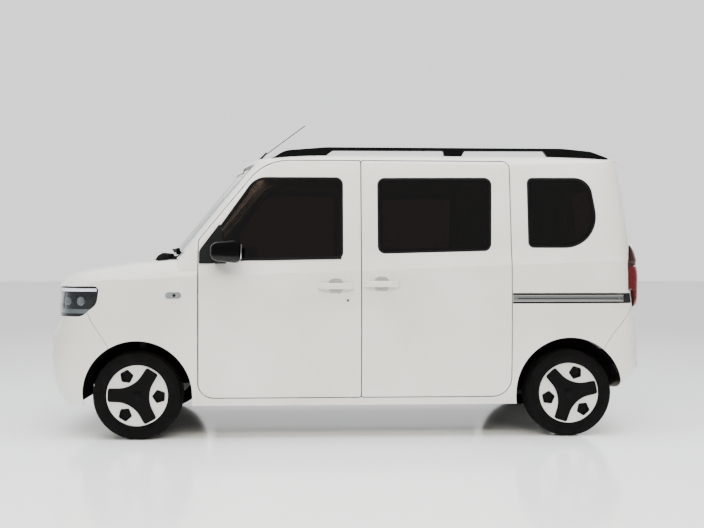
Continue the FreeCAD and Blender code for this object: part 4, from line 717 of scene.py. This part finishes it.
lay("mirror_sail_%s", SAIL, door_side, (4.6, 24, 3.6), TRIM, 1.0, "door_%s")
# Outer waist seal under the front window.
WAIST = ((-742, 1064, 5), (-742, 1081, 5), (-30, 1094, 5), (-30, 1077, 5))
lay("waist_seal_%s", WAIST, door_side, (3.6, 40, 3.2), SEAL, 1.2, "door_%s")

# Black enamel bands inside the privacy panes, round the sliding and the quarter window.
for name, corners in (("sliding", SLIDING_WINDOW), ("quarter", QUARTER_WINDOW)):
    lay("enamel_" + name + "_%s", corners, panes, (-5.6, 60, 0.6, 30.0), ENAMEL)

# Painted shade in the finger hollows above and below each grip, laid as thin sheets of darkened lacquer; the lock
# barrel under the front one, in a bright ring.
LOCK_X, LOCK_Z = 8.0, 830.0
HOLLOW_NEAR, HOLLOW_FAR, NEAR_HALF, FAR_HALF = 18, 43, 43, 38
HOLLOWS = (("front", -64.0, 916.0, "door_%s", door_skin), ("sliding", 211.0, 928.0, "body", sliding_skin))
for where, x, z, body, seen in HOLLOWS:
    for tag, sign in (("upper", 1), ("lower", -1)):
        near, far = z + sign * HOLLOW_NEAR, z + sign * HOLLOW_FAR
        corners = ((x - NEAR_HALF, near, 1), (x - FAR_HALF, far, 20), (x + FAR_HALF, far, 20),
                   (x + NEAR_HALF, near, 1))
        # Each sheet is lacquer darkened as painted shade, where the hollow's shadow falls.
        lay("hollow_%s_%s_%%s" % (where, tag), corners, seen, (0.5, 8, 0.8), (pearl_painted_shade, "paint"), 0.0,
            body)
lay("lock_ring_%s", oblong(LOCK_X, LOCK_Z, 17, 17, 8.2), door_skin, (2.2, 40, 3.0, 0.0, 8), BRIGHT, 0.8,
    "door_%s")
lay("lock_slot_%s", oblong(LOCK_X, LOCK_Z, 3, 9, 0.7), door_skin, (2.6, 40, 1.0, 0.0, 2), GLOSS, 0.0,
    "door_%s")

# Side repeater on the wing, from its bezel inwards: part, shift, width, height, corner, fit, coat and edge.
REPEATER_X, REPEATER_Z = -1028.0, 861.0
wing_skin = surface("side", "fender_left")
for part, shift, width, height, radius, fit, coat, edge in (
        ("bezel", 0, 95, 38, 18, (3.0, 30, 4.0, 7.0), REFLECTOR, 1.2),
        ("lens", 0, 82, 26, 12.5, (4.5, 14, 2.6), LENS, 1.2),
        ("socket", 6, 20, 18, 8.0, (1.4, 30, 1.8), GLOSS, 0.0),
        ("bowl", 0, 84, 28, 13.0, (0.6, 30, 1.6), (silver, "lamp_clear"), 0.0)):
    corners = oblong(REPEATER_X + shift, REPEATER_Z, width, height, radius)
    lay("repeater_" + part + "_%s", corners, wing_skin, fit, coat, edge)

# Door mirrors: a deep round-shouldered housing on the sail's arm, and the glass in its rear face. The housing shrinks
# forwards towards a middle line, in metres.
MIRROR_REAR, MIRROR_DEEP = -619.0, 181.0
MIRROR_Y, MIRROR_Z = -0.833, 1.123
NARROWING, FLATTENING = 0.14, 0.26
PANE_MIDDLE, PANE_TILT = 1.126, 0.045
housing = rounded_box((-800, -903, 1052), (-619, -779, 1186), 40, 6)
for vert in housing.verts:
    deep = (vert.co.x / MM - MIRROR_REAR) / -MIRROR_DEEP
    vert.co.z = MIRROR_Z + (vert.co.z - MIRROR_Z) * (1.0 - FLATTENING * deep ** 2)
    vert.co.y = MIRROR_Y + (vert.co.y - MIRROR_Y) * (1.0 - NARROWING * deep ** 2)
take_place(pair("mirror_housing_%s", housing, HOUSING, "door_%s", sharp=70), "mirror_")
arm = rounded_box((-790, -800, 1049), (-712, -738, 1078), 10, 3)
pair("mirror_arm_%s", arm, HOUSING, "door_%s", sharp=60)
mirror_face = leaned(rounded_box((-622.0, -892, 1078), (-616.0, -790, 1162), 2.4, 2), PANE_MIDDLE, PANE_TILT)
pair("mirror_glass_%s", mirror_face, SILVERED, "door_%s", sharp=60)

# Headlamps: a clear lens over a dark bowl, with a light bar along the top and two plain round projectors.
LAMP_SEED = (-1700.0, -640.0, 820.0)
lens_cover = pair("headlamp_lens_%s", walled(skin_of("headlamps", LAMP_SEED), 2.5), LENS)
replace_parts(lens_cover[0], "headlamps")
pair("headlamp_bowl_%s", walled(skin_of("headlamps", LAMP_SEED, 24.0, 22.0), 5.0), (smoked_bowl, "gloss_black"))
# Bands behind the lens: part, the axis that they are cut across, its low and high end, depth, thickness and coat.
for part, axis, low, high, deep, thick, coat in (
        ("rim_top", 2, 904.0, 912.5, 3.0, 5.0, GLOSS),
        ("light_bar", 2, 884.0, 902.0, 5.0, 9.0, (light_bar, "lamp_clear")),
        ("shelf", 2, 874.0, 884.0, 7.0, 12.0, GLOSS), ("rim_low", 2, 737.0, 747.0, 3.0, 7.0, GLOSS),
        ("reflector", 2, 752.0, 778.0, 15.0, 6.0, REFLECTOR), ("rim_rear", 0, -1482.0, -1440.0, 3.0, 6.0, GLOSS)):
    band = between(skin_of("headlamps", LAMP_SEED, deep, deep), axis, low, high)
    pair("headlamp_" + part + "_%s", walled(band, thick), coat)
lamp_skin = surface("side", "headlamps")
PROJECTOR_WAY = Vector((-0.45, -0.89, 0.0))
for tag, x, z, radius in (("main", -1592.0, 826.0, 27.0), ("inner", -1680.0, 826.0, 24.0)):
    spot = hit_on(lamp_skin, x, z)[0] / MM - PROJECTOR_WAY * 38.0
    housing = barrel(spot + PROJECTOR_WAY * 18, spot - PROJECTOR_WAY * 16, radius, radius * 0.8, 40, 2.0)
    pair("projector_ring_%s_%%s" % tag, housing, (lamp_chrome, "steel"), sharp=40)
    eye = bmesh.new()
    bmesh.ops.create_uvsphere(eye, u_segments=28, v_segments=14, radius=radius * 0.8 * MM)
    pair("projector_lens_%s_%%s" % tag, moved(eye, (spot + PROJECTOR_WAY * 12) * MM), LENS, sharp=80)

# Tail lamps: a red lens in two parts, the upper one smoked, that bulges back from the body over a black base.
RED_SEED = (1800.0, -640.0, 980.0)
RED_LOW, RED_HIGH, SPLIT_Z, SPLIT_GAP, RED_EDGE, RED_RISE = 787.0, 1165.0, 1036.0, 2.5, 1727.0, 42.0
BULGE = 44.0


def bulged(bm, rise):
    """Solid between a lamp's skin and the same skin carried backwards, most at mid-height and nothing at its edge."""
    middle, half = (RED_LOW + RED_HIGH) / 2, (RED_HIGH - RED_LOW) / 2
    for vert in doubled(bm):
        up = min(1.0, abs(vert.co.z / MM - middle) / half)
        along = min(1.0, max(0.0, (vert.co.x / MM - RED_EDGE) / RED_RISE))
        vert.co.x += rise * MM * math.sqrt(1 - up ** 2.6) * math.sin(math.pi / 2 * along)
    return bm


lower = bulged(between(skin_of("tail_lamps", RED_SEED), 2, 700.0, SPLIT_Z - SPLIT_GAP), BULGE)
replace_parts(pair("tail_lens_lower_%s", lower, RED, sharp=50)[0], "tail_lamps")
upper = bulged(between(skin_of("tail_lamps", RED_SEED), 2, SPLIT_Z + SPLIT_GAP, 1250.0), BULGE)
pair("tail_lens_upper_%s", upper, DARK_RED, sharp=50)
pair("tail_lamp_base_%s", bulged(skin_of("tail_lamps", RED_SEED), BULGE - 12.0), GLOSS, sharp=50)

# Slide rail: a bright strip between two black lips, with a black end cap beside the tail lamp.
slot_skin = surface("side", "side_frame_left", "slide_rails")
for low, high, tag in ((808, 821, "lower"), (859, 873, "upper")):
    lay("rail_lip_%s_%%s" % tag, rect(1003, low, 1737, high, 2), slot_skin, (0.6, 30, 4.0), SEAL, 0.8)
lay("rail_groove_%s", rect(1006, 838, 1733, 843, 1), surface("side", "slide_rails"), (0.5, 30, 1.0), GLOSS)
END_CAP = ((1690, 811, 4), (1690, 871, 4), (1742, 871, 6), (1742, 811, 6))
lay("rail_end_cap_%s", END_CAP, slot_skin, (2.4, 16, 4.0), TRIM, 1.2)

# Front: slats in the lower intake, a backing behind them and a frame round them.
front_skin = surface("front", "front_bumper")
INTAKE_LOW, INTAKE_HIGH, INTAKE_HALF, SLATS = 330.0, 400.0, 430.0, 4
LINE_ABOVE, LINE_HALF, LINE_PITCH, SLATS_BEHIND, BACKING_BEHIND = 22, 470, 94, 26, 40
intake_line = [(hit_on(front_skin, y, INTAKE_HIGH + LINE_ABOVE)[0].x / MM, y)
               for y in range(-LINE_HALF, LINE_HALF + 1, LINE_PITCH)]
for row in range(SLATS):
    z = INTAKE_LOW + (row + 0.5) * (INTAKE_HIGH - INTAKE_LOW) / SLATS
    piece("intake_slat_%d" % row, swept([(x + SLATS_BEHIND, y, z) for x, y in intake_line], 4.5), TRIM, sharp=60)
mesh_back = bmesh.new()
rows = [[mesh_back.verts.new(((x + BACKING_BEHIND) * MM, y * MM, z * MM)) for x, y in intake_line]
        for z in (INTAKE_LOW - 12, INTAKE_HIGH + 12)]
for i in range(len(intake_line) - 1):
    mesh_back.faces.new((rows[0][i], rows[0][i + 1], rows[1][i + 1], rows[1][i]))
piece("intake_backing", slab(mesh_back, "front", 3.0), TRIM, edge=0.8)
lay("intake_frame", oblong(0, 365, 2 * INTAKE_HALF + 40, 110, 30), front_skin, (4.5, 14, 7.0, 18.0),
    TRIM, 1.2)

# Cowl: a black hump with the wiper spindles, arms and blades lying on the glass.
gate_skin, gate_pane = surface("rear", "tailgate", "tailgate_glass"), surface("rear", "tailgate_glass")
windscreen = surface("front", "windscreen")


def off_pane(pane, y, z, lift):
    """A point on a pane, lifted off it towards the viewer, in millimetres."""
    hit, normal = hit_on(pane, y, z)
    if normal.dot(PLACES[pane[0]][1]) > 0:
        normal = -normal
    return (hit + normal * lift * MM) / MM


def off_screen(line, share, rise, lift):
    """A point at a share of a line (y, z, end y, end z) on the windscreen, raised and lifted."""
    y, z, end_y, end_z = line
    return off_pane(windscreen, y + (end_y - y) * share, z + rise + (end_z - z) * share, lift)


HUMP = ((-1168, 1060, 2), (-1169, 1080, 6), (-1152, 1102, 20), (-1126, 1117, 12), (-1100, 1117, 4), (-1100, 1060, 2))
piece("cowl_cover", bar(HUMP, -528.0, 1056.0), TRIM, edge=3.0)
# Wipers from root to tip as (y, z, y, z); the arm grips the blade beyond its middle.
GRIP_SHARE, BEND_SHARE, BLADE_RISE = 0.55, 0.2, 8
WIPERS = (("driver", -505.0, 1118.0, 60.0, 1132.0), ("passenger", 20.0, 1124.0, 510.0, 1136.0))
for who, *line in WIPERS:
    y_root, z_root, y_tip, z_tip = line
    root = off_pane(windscreen, y_root, z_root, 9.0)
    grip_y = y_root + (y_tip - y_root) * GRIP_SHARE
    grip_z = z_root + (z_tip - z_root) * GRIP_SHARE
    bend = off_pane(windscreen, y_root + (y_tip - y_root) * BEND_SHARE, z_root + 6, 36.0)
    knob = barrel(root - Vector((0, 0, 14)), root + Vector((-6, 0, 24)), 15, 11, segments=28, edge=1.5)
    arm = joined(swept([root, bend, off_pane(windscreen, grip_y, grip_z + 6, 21.0)], 4.6), knob)
    piece("wiper_arm_" + who, arm, SATIN_TRIM, sharp=45)
    blade = swept([off_screen(line, share, BLADE_RISE, 11.0) for share in (0.04, 0.28, 0.52, 0.76, 1.0)], 5.0)
    clip = box_at(off_pane(windscreen, grip_y, grip_z + 7, 15.0), (-7, -24, -7), (7, 24, 7), 3.0, 2)
    piece("wiper_blade_" + who, joined(blade, clip), SATIN_TRIM, sharp=45)
    lip = swept([off_screen(line, share, BLADE_RISE, 3.4) for share in (0.05, 0.28, 0.52, 0.76, 0.99)], 2.2)
    piece("wiper_lip_" + who, lip, SEAL, sharp=45)

# Windscreen: printed enamel round the edge, inner mirror and its camera cover.
TINT = ((-545, 1098, 30), (-474, 1594, 50), (0, 1614, 800), (474, 1594, 50), (545, 1098, 30))
lay("windscreen_enamel", TINT, windscreen, (-6.4, 50, 0.6, 32.0), ENAMEL)
mirror_at = off_pane(windscreen, 0, 1540, -52.0)
piece("inner_mirror", box_at(mirror_at, (0, -122, -68), (34, 122, 0), 13, 4), CABIN_BLACK, sharp=50)
piece("inner_mirror_glass", box_at(mirror_at, (32, -114, -61), (36, 114, -7), 1.6, 2), SILVERED)
sensor = box_at(off_pane(windscreen, 0, 1575, -16.0), (0, -70, -36), (60, 70, 10), 12, 3)
piece("sensor_cover", sensor, CABIN_BLACK, sharp=50)

# Tailgate: garnish with handle and lamps, rear wiper, high stop lamp and roof lip; reflectors in the bumper.
lay("tailgate_garnish", oblong(0, 905, 560, 46, 18), gate_skin, (2.6, 30, 3.0), GLOSS, 1.2, "tailgate")
lay("tailgate_handle", oblong(0, 868, 260, 22, 9), gate_skin, (1.8, 30, 3.0), TRIM, 1.0, "tailgate")
for side in (-1, 1):
    lay("plate_lamp_%d" % side, oblong(side * 205, 868, 60, 16, 6), gate_skin, (2.0, 30, 3.0), LENS, 1.0,
        "tailgate")
lay("gate_glass_enamel", oblong(0, 1360, 1000, 470, 60), gate_pane, (-5.0, 50, 0.6, 34.0), ENAMEL, 0.0,
    "tailgate")
lay("high_stop_lamp", oblong(0, 1640, 240, 20, 7), gate_skin, (2.6, 30, 3.2), RED, 1.0, "tailgate")
knob = barrel(off_pane(gate_pane, 0, 1150, 4.0), off_pane(gate_pane, 0, 1150, 24.0), 19, 15, segments=32, edge=2.5)
arm_line = [off_pane(gate_pane, *spot) for spot in ((0, 1150, 16.0), (-60, 1160, 22.0), (-190, 1176, 17.0))]
piece("rear_wiper_arm", joined(swept(arm_line, 5.0), knob), SATIN_TRIM, "tailgate", sharp=45)
for tag, start, pitch, lift, radius, coat in (
        ("blade", 60, 52, 10.0, 5.5, SATIN_TRIM), ("lip", 64, 51, 3.0, 2.0, SEAL)):
    line = [off_pane(gate_pane, -start - pitch * i, 1166 + 7.5 * i, lift) for i in range(6)]
    piece("rear_wiper_" + tag, swept(line, radius), coat, "tailgate", sharp=45)
lay("bumper_reflector_%s", oblong(-600, 430, 110, 34, 12), surface("rear", "rear_bumper"), (2.0, 24, 3.4),
    DARK_RED, 1.2)

# Roof lip across the top of the tailgate, crowned like the roof: its rise and its reach backwards at the middle, and
# the half width over which they fade, in metres.
LIP = ((1684, 1689, 2), (1684, 1706, 3), (1719, 1699, 5), (1726, 1691, 4), (1717, 1684, 3))
LIP_RISE, LIP_REACH, LIP_HALF = 0.018, 0.006, 0.6
lip_bar = cut_grid(bar(LIP, -572.0, 1144.0), "front", 40)
for vert in lip_bar.verts:
    crown = 1 - (vert.co.y / LIP_HALF) ** 2
    vert.co.z += LIP_RISE * crown
    vert.co.x += LIP_REACH * crown
piece("tailgate_lip", lip_bar, (pearl, "paint"), "tailgate", sharp=50)

# Roof rails: a flat tube with feet at the ends and in the middle, cut from one outline, on rubber gaskets.
RAIL = (
    (-452, 1694, 3), (-372, 1744, 130), (-118, 1764.5, 500), (1345, 1764.5, 500), (1527, 1747, 160), (1634, 1707, 6),
    (1634, 1698, 2), (1256, 1712, 8), (1228, 1748, 10), (735, 1746, 10), (716, 1713, 8), (610, 1713, 8),
    (603, 1746, 10), (-80, 1744, 24), (-126, 1710, 8), (-452, 1692, 2),
)
rails = pair("roof_rail_%s", bar(RAIL, -615.0, 30.0), (coated_rail, "black_trim"), edge=4.0, sharp=40)
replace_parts(rails[0], "roof_rails")
roof_edge, roof_skin = surface("top", "roof_panel", "side_frame_left"), surface("top", "roof_panel")
for tag, x_low, x_high in (("front", -456, -120), ("middle", 604, 722), ("rear", 1250, 1630)):
    lay("rail_gasket_%s_%%s" % tag, rect(x_low, -617, x_high, -583, 14), roof_edge, (2.0, 30, 3.0), SEAL, 0.8)
lay("aerial_gasket", oblong(-600, 0, 74, 44, 21), roof_skin, (3.2, 12, 4.0), SEAL, 1.0)

# Cabin linings.
lay("headlining", rect(-430, -500, 1560, 500, 60), surface("below", "roof_panel"), (9.0, 90, 5.0),
    (headlining, "inside"), 1.5)
floor_skin = surface("top", "floor_pan")
for tag, corners in (("front", rect(-870, -560, 450, 560, 60)), ("load", rect(1062, -470, 1610, 470, 40))):
    lay("carpet_" + tag, corners, floor_skin, (6.0, 60, 5.0), (carpet, "inside"), 1.5)
DOOR_CARD = ((-820, 470, 60), (-850, 1010, 50), (-40, 1030, 50), (-40, 470, 60))
SLIDING_CARD = ((230, 470, 50), (230, 1040, 50), (860, 1050, 50), (860, 470, 50))
lay("door_card_%s", DOOR_CARD, surface("inner", "door_front_left"), (7.0, 40, 6.0), CABIN, 2.0, "door_%s")
pair("door_armrest_%s", rounded_box((-560, -640, 800), (-180, -585, 840), 12, 3), CABIN, "door_%s", sharp=50)
pull = swept([(-600, -636, 880), (-600, -606, 884), (-500, -600, 888), (-400, -606, 890), (-400, -636, 890)], 8.0)
pair("door_pull_%s", pull, CABIN_SATIN, "door_%s", sharp=50)
lay("sliding_card_%s", SLIDING_CARD, surface("inner", "sliding_door_left"), (7.0, 40, 6.0), CABIN, 2.0)

# Dashboard: hooded instruments that lean back, centre display, vents and lids; the wheel's pad, and the stalks.
dash = surface("rear", "dashboard")
HOOD_FOOT, HOOD_LEAN = 0.988, -0.25
hood = leaned(rounded_box((-850, -480, 988), (-806, -190, 1078), 15, 4), HOOD_FOOT, HOOD_LEAN)
piece("instrument_hood", hood, CABIN, sharp=50)
dials = leaned(rounded_box((-812, -460, 1000), (-806.5, -210, 1066), 2, 2), HOOD_FOOT, HOOD_LEAN, 0.0034)
piece("instrument_glass", dials, SCREEN)
piece("display_body", rounded_box((-818, -132, 868), (-796, 132, 1024), 8, 3), CABIN)
piece("display_glass", rounded_box((-797.5, -124, 880), (-794.5, 124, 1016), 1.4, 2), SCREEN)
for tag, y in (("door", -562), ("middle", -176)):
    lay("vent_rim_%s_%%s" % tag, oblong(y, 905, 92, 62, 18), dash, (4.0, 30, 5.0, 7.0), CABIN_SATIN, 1.0)
    for row in range(4):
        lay("vent_blade_%s_%d_%%s" % (tag, row), oblong(y, 886 + 12.5 * row, 78, 3.2, 1.4), dash,
            (3.0, 30, 3.0), CABIN)
lay("glovebox_lid", oblong(370, 760, 400, 150, 24), dash, (3.0, 60, 3.6), CABIN, 2.0)
lay("dash_tray", oblong(370, 880, 380, 50, 14), dash, (2.0, 60, 3.0), (pale_trim, "inside"), 1.5)
lay("selector_panel", oblong(-20, 800, 170, 90, 18), dash, (3.0, 60, 3.6), GLOSS, 1.5)
COLUMN = Vector((math.cos(math.radians(25)), 0, math.sin(math.radians(25))))
HUB = Vector((-690.0, -335.0, 965.0))


def off_hub(along, aside=0.0, up=0.0):
    """A point from the steering wheel's hub, along its column and to the side."""
    return HUB + COLUMN * along + Vector((0, aside, up))


pad = barrel(off_hub(-6), off_hub(14), 58, 46, segments=40, edge=6)
piece("wheel_pad", pad, CABIN, "steering_wheel", sharp=50)
for side in (-1, 1):
    spoke = barrel(off_hub(-2, side * 52), off_hub(-4, side * 158), 15, 12, segments=20, edge=2)
    piece("spoke_cover_%d" % side, spoke, CABIN_SATIN, "steering_wheel", sharp=50)
    stalk = barrel(off_hub(-92, side * 20), off_hub(-84, side * 170, 6), 7, 5, segments=16, edge=1.5)
    piece("stalk_%d" % side, stalk, CABIN_SATIN, sharp=50)
for tag, y in (("brake", -390), ("drive", -270)):
    pedal = rounded_box((-868, y - 34, 400), (-858, y + 34, 470), 4, 2)
    piece("pedal_" + tag, pedal, (seal_rubber, "inside"), sharp=50)
    hanger = swept([(-866, y, 465), (-872, y, 540), (-880, y, 650)], 6.0)
    piece("pedal_arm_" + tag, hanger, STEEL, sharp=50)

# Seats: pads of foam under sewn cloth, swelled by simulation; the sewn channels come after it.
PRESSURE, SWELLING_FRAMES, FOAM_STEP = 4.0, 20, 60


def evaluated(pad):
    """Mesh of an object with its modifiers applied."""
    return bpy.data.meshes.new_from_object(pad.evaluated_get(bpy.context.evaluated_depsgraph_get()))


def swelled(bm, voxel, cap):
    """Remeshes a closed pad and lets its cover swell under pressure, no point further than the cap."""
    mesh = bpy.data.meshes.new("pad")
    bm.to_mesh(mesh)
    bm.free()
    pad = bpy.data.objects.new("pad", mesh)
    scene.collection.objects.link(pad)
    remesh = put(pad.modifiers.new("remesh", "REMESH"), mode="VOXEL", voxel_size=voxel * MM)
    even = evaluated(pad)
    pad.modifiers.remove(remesh)
    pad.data = even
    bpy.data.meshes.remove(mesh)
    before = [v.co.copy() for v in even.vertices]
    cover = pad.modifiers.new("cover", "CLOTH")
    put(cover.settings, use_pressure=True, uniform_pressure_force=PRESSURE).effector_weights.gravity = 0.0
    for frame_number in range(1, SWELLING_FRAMES + 1):
        scene.frame_set(frame_number)
    settled = evaluated(pad)
    result = bmesh.new()
    result.from_mesh(settled)
    for vert, start in zip(result.verts, before):
        move = vert.co - start
        if move.length > cap * MM:
            vert.co = start + move.normalized() * cap * MM
    bpy.data.objects.remove(pad)
    bpy.data.meshes.remove(settled)
    bpy.data.meshes.remove(even)
    scene.frame_set(1)
    return result


def sewn(bm, axis, places, width, depth, middle):
    """Sinks sewn channels into a pad, across it at places along an axis and towards its middle."""
    for vert in bm.verts:
        for place_mm in places:
            off = (vert.co[axis] / MM - place_mm) / width
            if abs(off) < 3:
                vert.co += (Vector(middle) * MM - vert.co).normalized() * depth * MM * math.exp(-off * off)


def foam(low, high, edge, lean, taper):
    """Closed pad with rounded edges, cut into squares and leaning back by a share of its height."""
    bm = rounded_box(low, high, edge)
    for axis in (0, 1, 2):
        count = max(2, int((high[axis] - low[axis]) / FOAM_STEP))
        for i in range(1, count):
            split(bm, axis, (low[axis] + (high[axis] - low[axis]) * i / count) * MM)
    for vert in bm.verts:
        height = vert.co.z - low[2] * MM
        vert.co.x += height * lean
        middle_y = (low[1] + high[1]) / 2 * MM
        vert.co.y = middle_y + (vert.co.y - middle_y) * (1 - taper * height / ((high[2] - low[2]) * MM))
    return bm


def pads(rows):
    """Swelled and sewn pads, each with its mirror image.

    A row is the name, the finish, the two corners, edge, lean and taper of the foam, the voxel and the cap of the
    swelling, the middle that the seams sink towards, and the seams as (axis, places, width, depth).
    """
    levels = 1
    for name, finish, low, high, edge, lean, taper, voxel, cap, middle, seams in rows:
        pad = swelled(foam(low, high, edge, lean, taper), voxel, cap)
        for axis, places, width, depth in seams:
            sewn(pad, axis, places, width, depth, middle)
        for made in pair(name, pad, (finish, "seat"), sharp=80, levels=levels):
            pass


pads((
    ("seat_cushion_%s", seat_cloth, (-492, -546, 436), (6, -124, 530), 26, 0.0, 0.0, 10.0, 12.0, (-240, -335, 420),
     ((1, (-470, -200), 9.0, 9.0), (0, (-150,), 9.0, 6.0))),
    ("seat_backrest_%s", seat_cloth, (-48, -542, 560), (34, -128, 1112), 26, 0.14, 0.14, 10.0, 10.0, (60, -335, 830),
     ((1, (-466, -204), 9.0, 9.0), (2, (760, 960), 9.0, 6.0))),
    ("seat_head_%s", seat_vinyl, (44, -446, 1166), (98, -224, 1316), 24, 0.06, 0.0, 8.0, 8.0, (75, -335, 1240),
     ((1, (-420, -250), 8.0, 4.0),)),
))
for tag, y in (("outer", -385), ("inner", -285)):
    post = swept([(76, y, 1100), (77, y, 1140), (79, y, 1190)], 5.5)
    pair("head_post_%s_%%s" % tag, post, BRIGHT, sharp=50)
shell = rounded_box((-440, -524, 306), (-36, -146, 434), 18)
take_place(pair("seat_base_%s", shell, CABIN, sharp=50), "seat_")
for tag, y in (("outer", -520), ("inner", -170)):
    runner = rounded_box((-480, y - 14, 303.4), (0, y + 14, 322), 4, 2)
    pair("seat_runner_%s_%%s" % tag, runner, STEEL)
lever = swept([(-300, -548, 440), (-210, -552, 446), (-120, -550, 470)], 7.0)
pair("recline_lever_%s", lever, CABIN_BLACK, sharp=50)
pads((
    ("bench_cushion_%s", seat_cloth, (486, -592, 446), (880, -10, 536), 24, 0.0, 0.0, 12.0, 12.0, (680, -300, 430),
     ((1, (-500, -110), 9.0, 8.0),)),
    ("bench_back_%s", seat_cloth, (872, -590, 556), (946, -10, 1096), 24, 0.14, 0.0, 12.0, 10.0, (960, -300, 830),
     ((1, (-500, -110), 9.0, 8.0), (2, (740, 930), 9.0, 6.0))),
))
bench_base = rounded_box((526, -556, 303.6), (926, 556, 444), 20)
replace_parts(piece("bench_base", bench_base, CABIN, sharp=50), "seat_rear")

# Below: ribs and bolts of the battery's case.
RIBS, RIB_START, RIB_PITCH, RIB_DROP = 9, -590.0, 160.0, -0.0003
BOLTS, BOLT_START, BOLT_PITCH = 8, -560.0, 190.0
for row in range(RIBS):
    x = RIB_START + RIB_PITCH * row
    rib = rounded_box((x - 14, -500, 205.6), (x + 14, 500, 216), 3, 2)
    piece("battery_rib_%d" % row, moved(rib, (0, 0, RIB_DROP)), (case_metal, "battery"), sharp=50)
for side in (-1, 1):
    for row in range(BOLTS):
        x = BOLT_START + BOLT_PITCH * row
        bolt = barrel((x, side * 508, 205.3), (x, side * 508, 212), 9, segments=6, edge=1)
        piece("battery_bolt_%d_%d" % (side, row), bolt, STEEL)
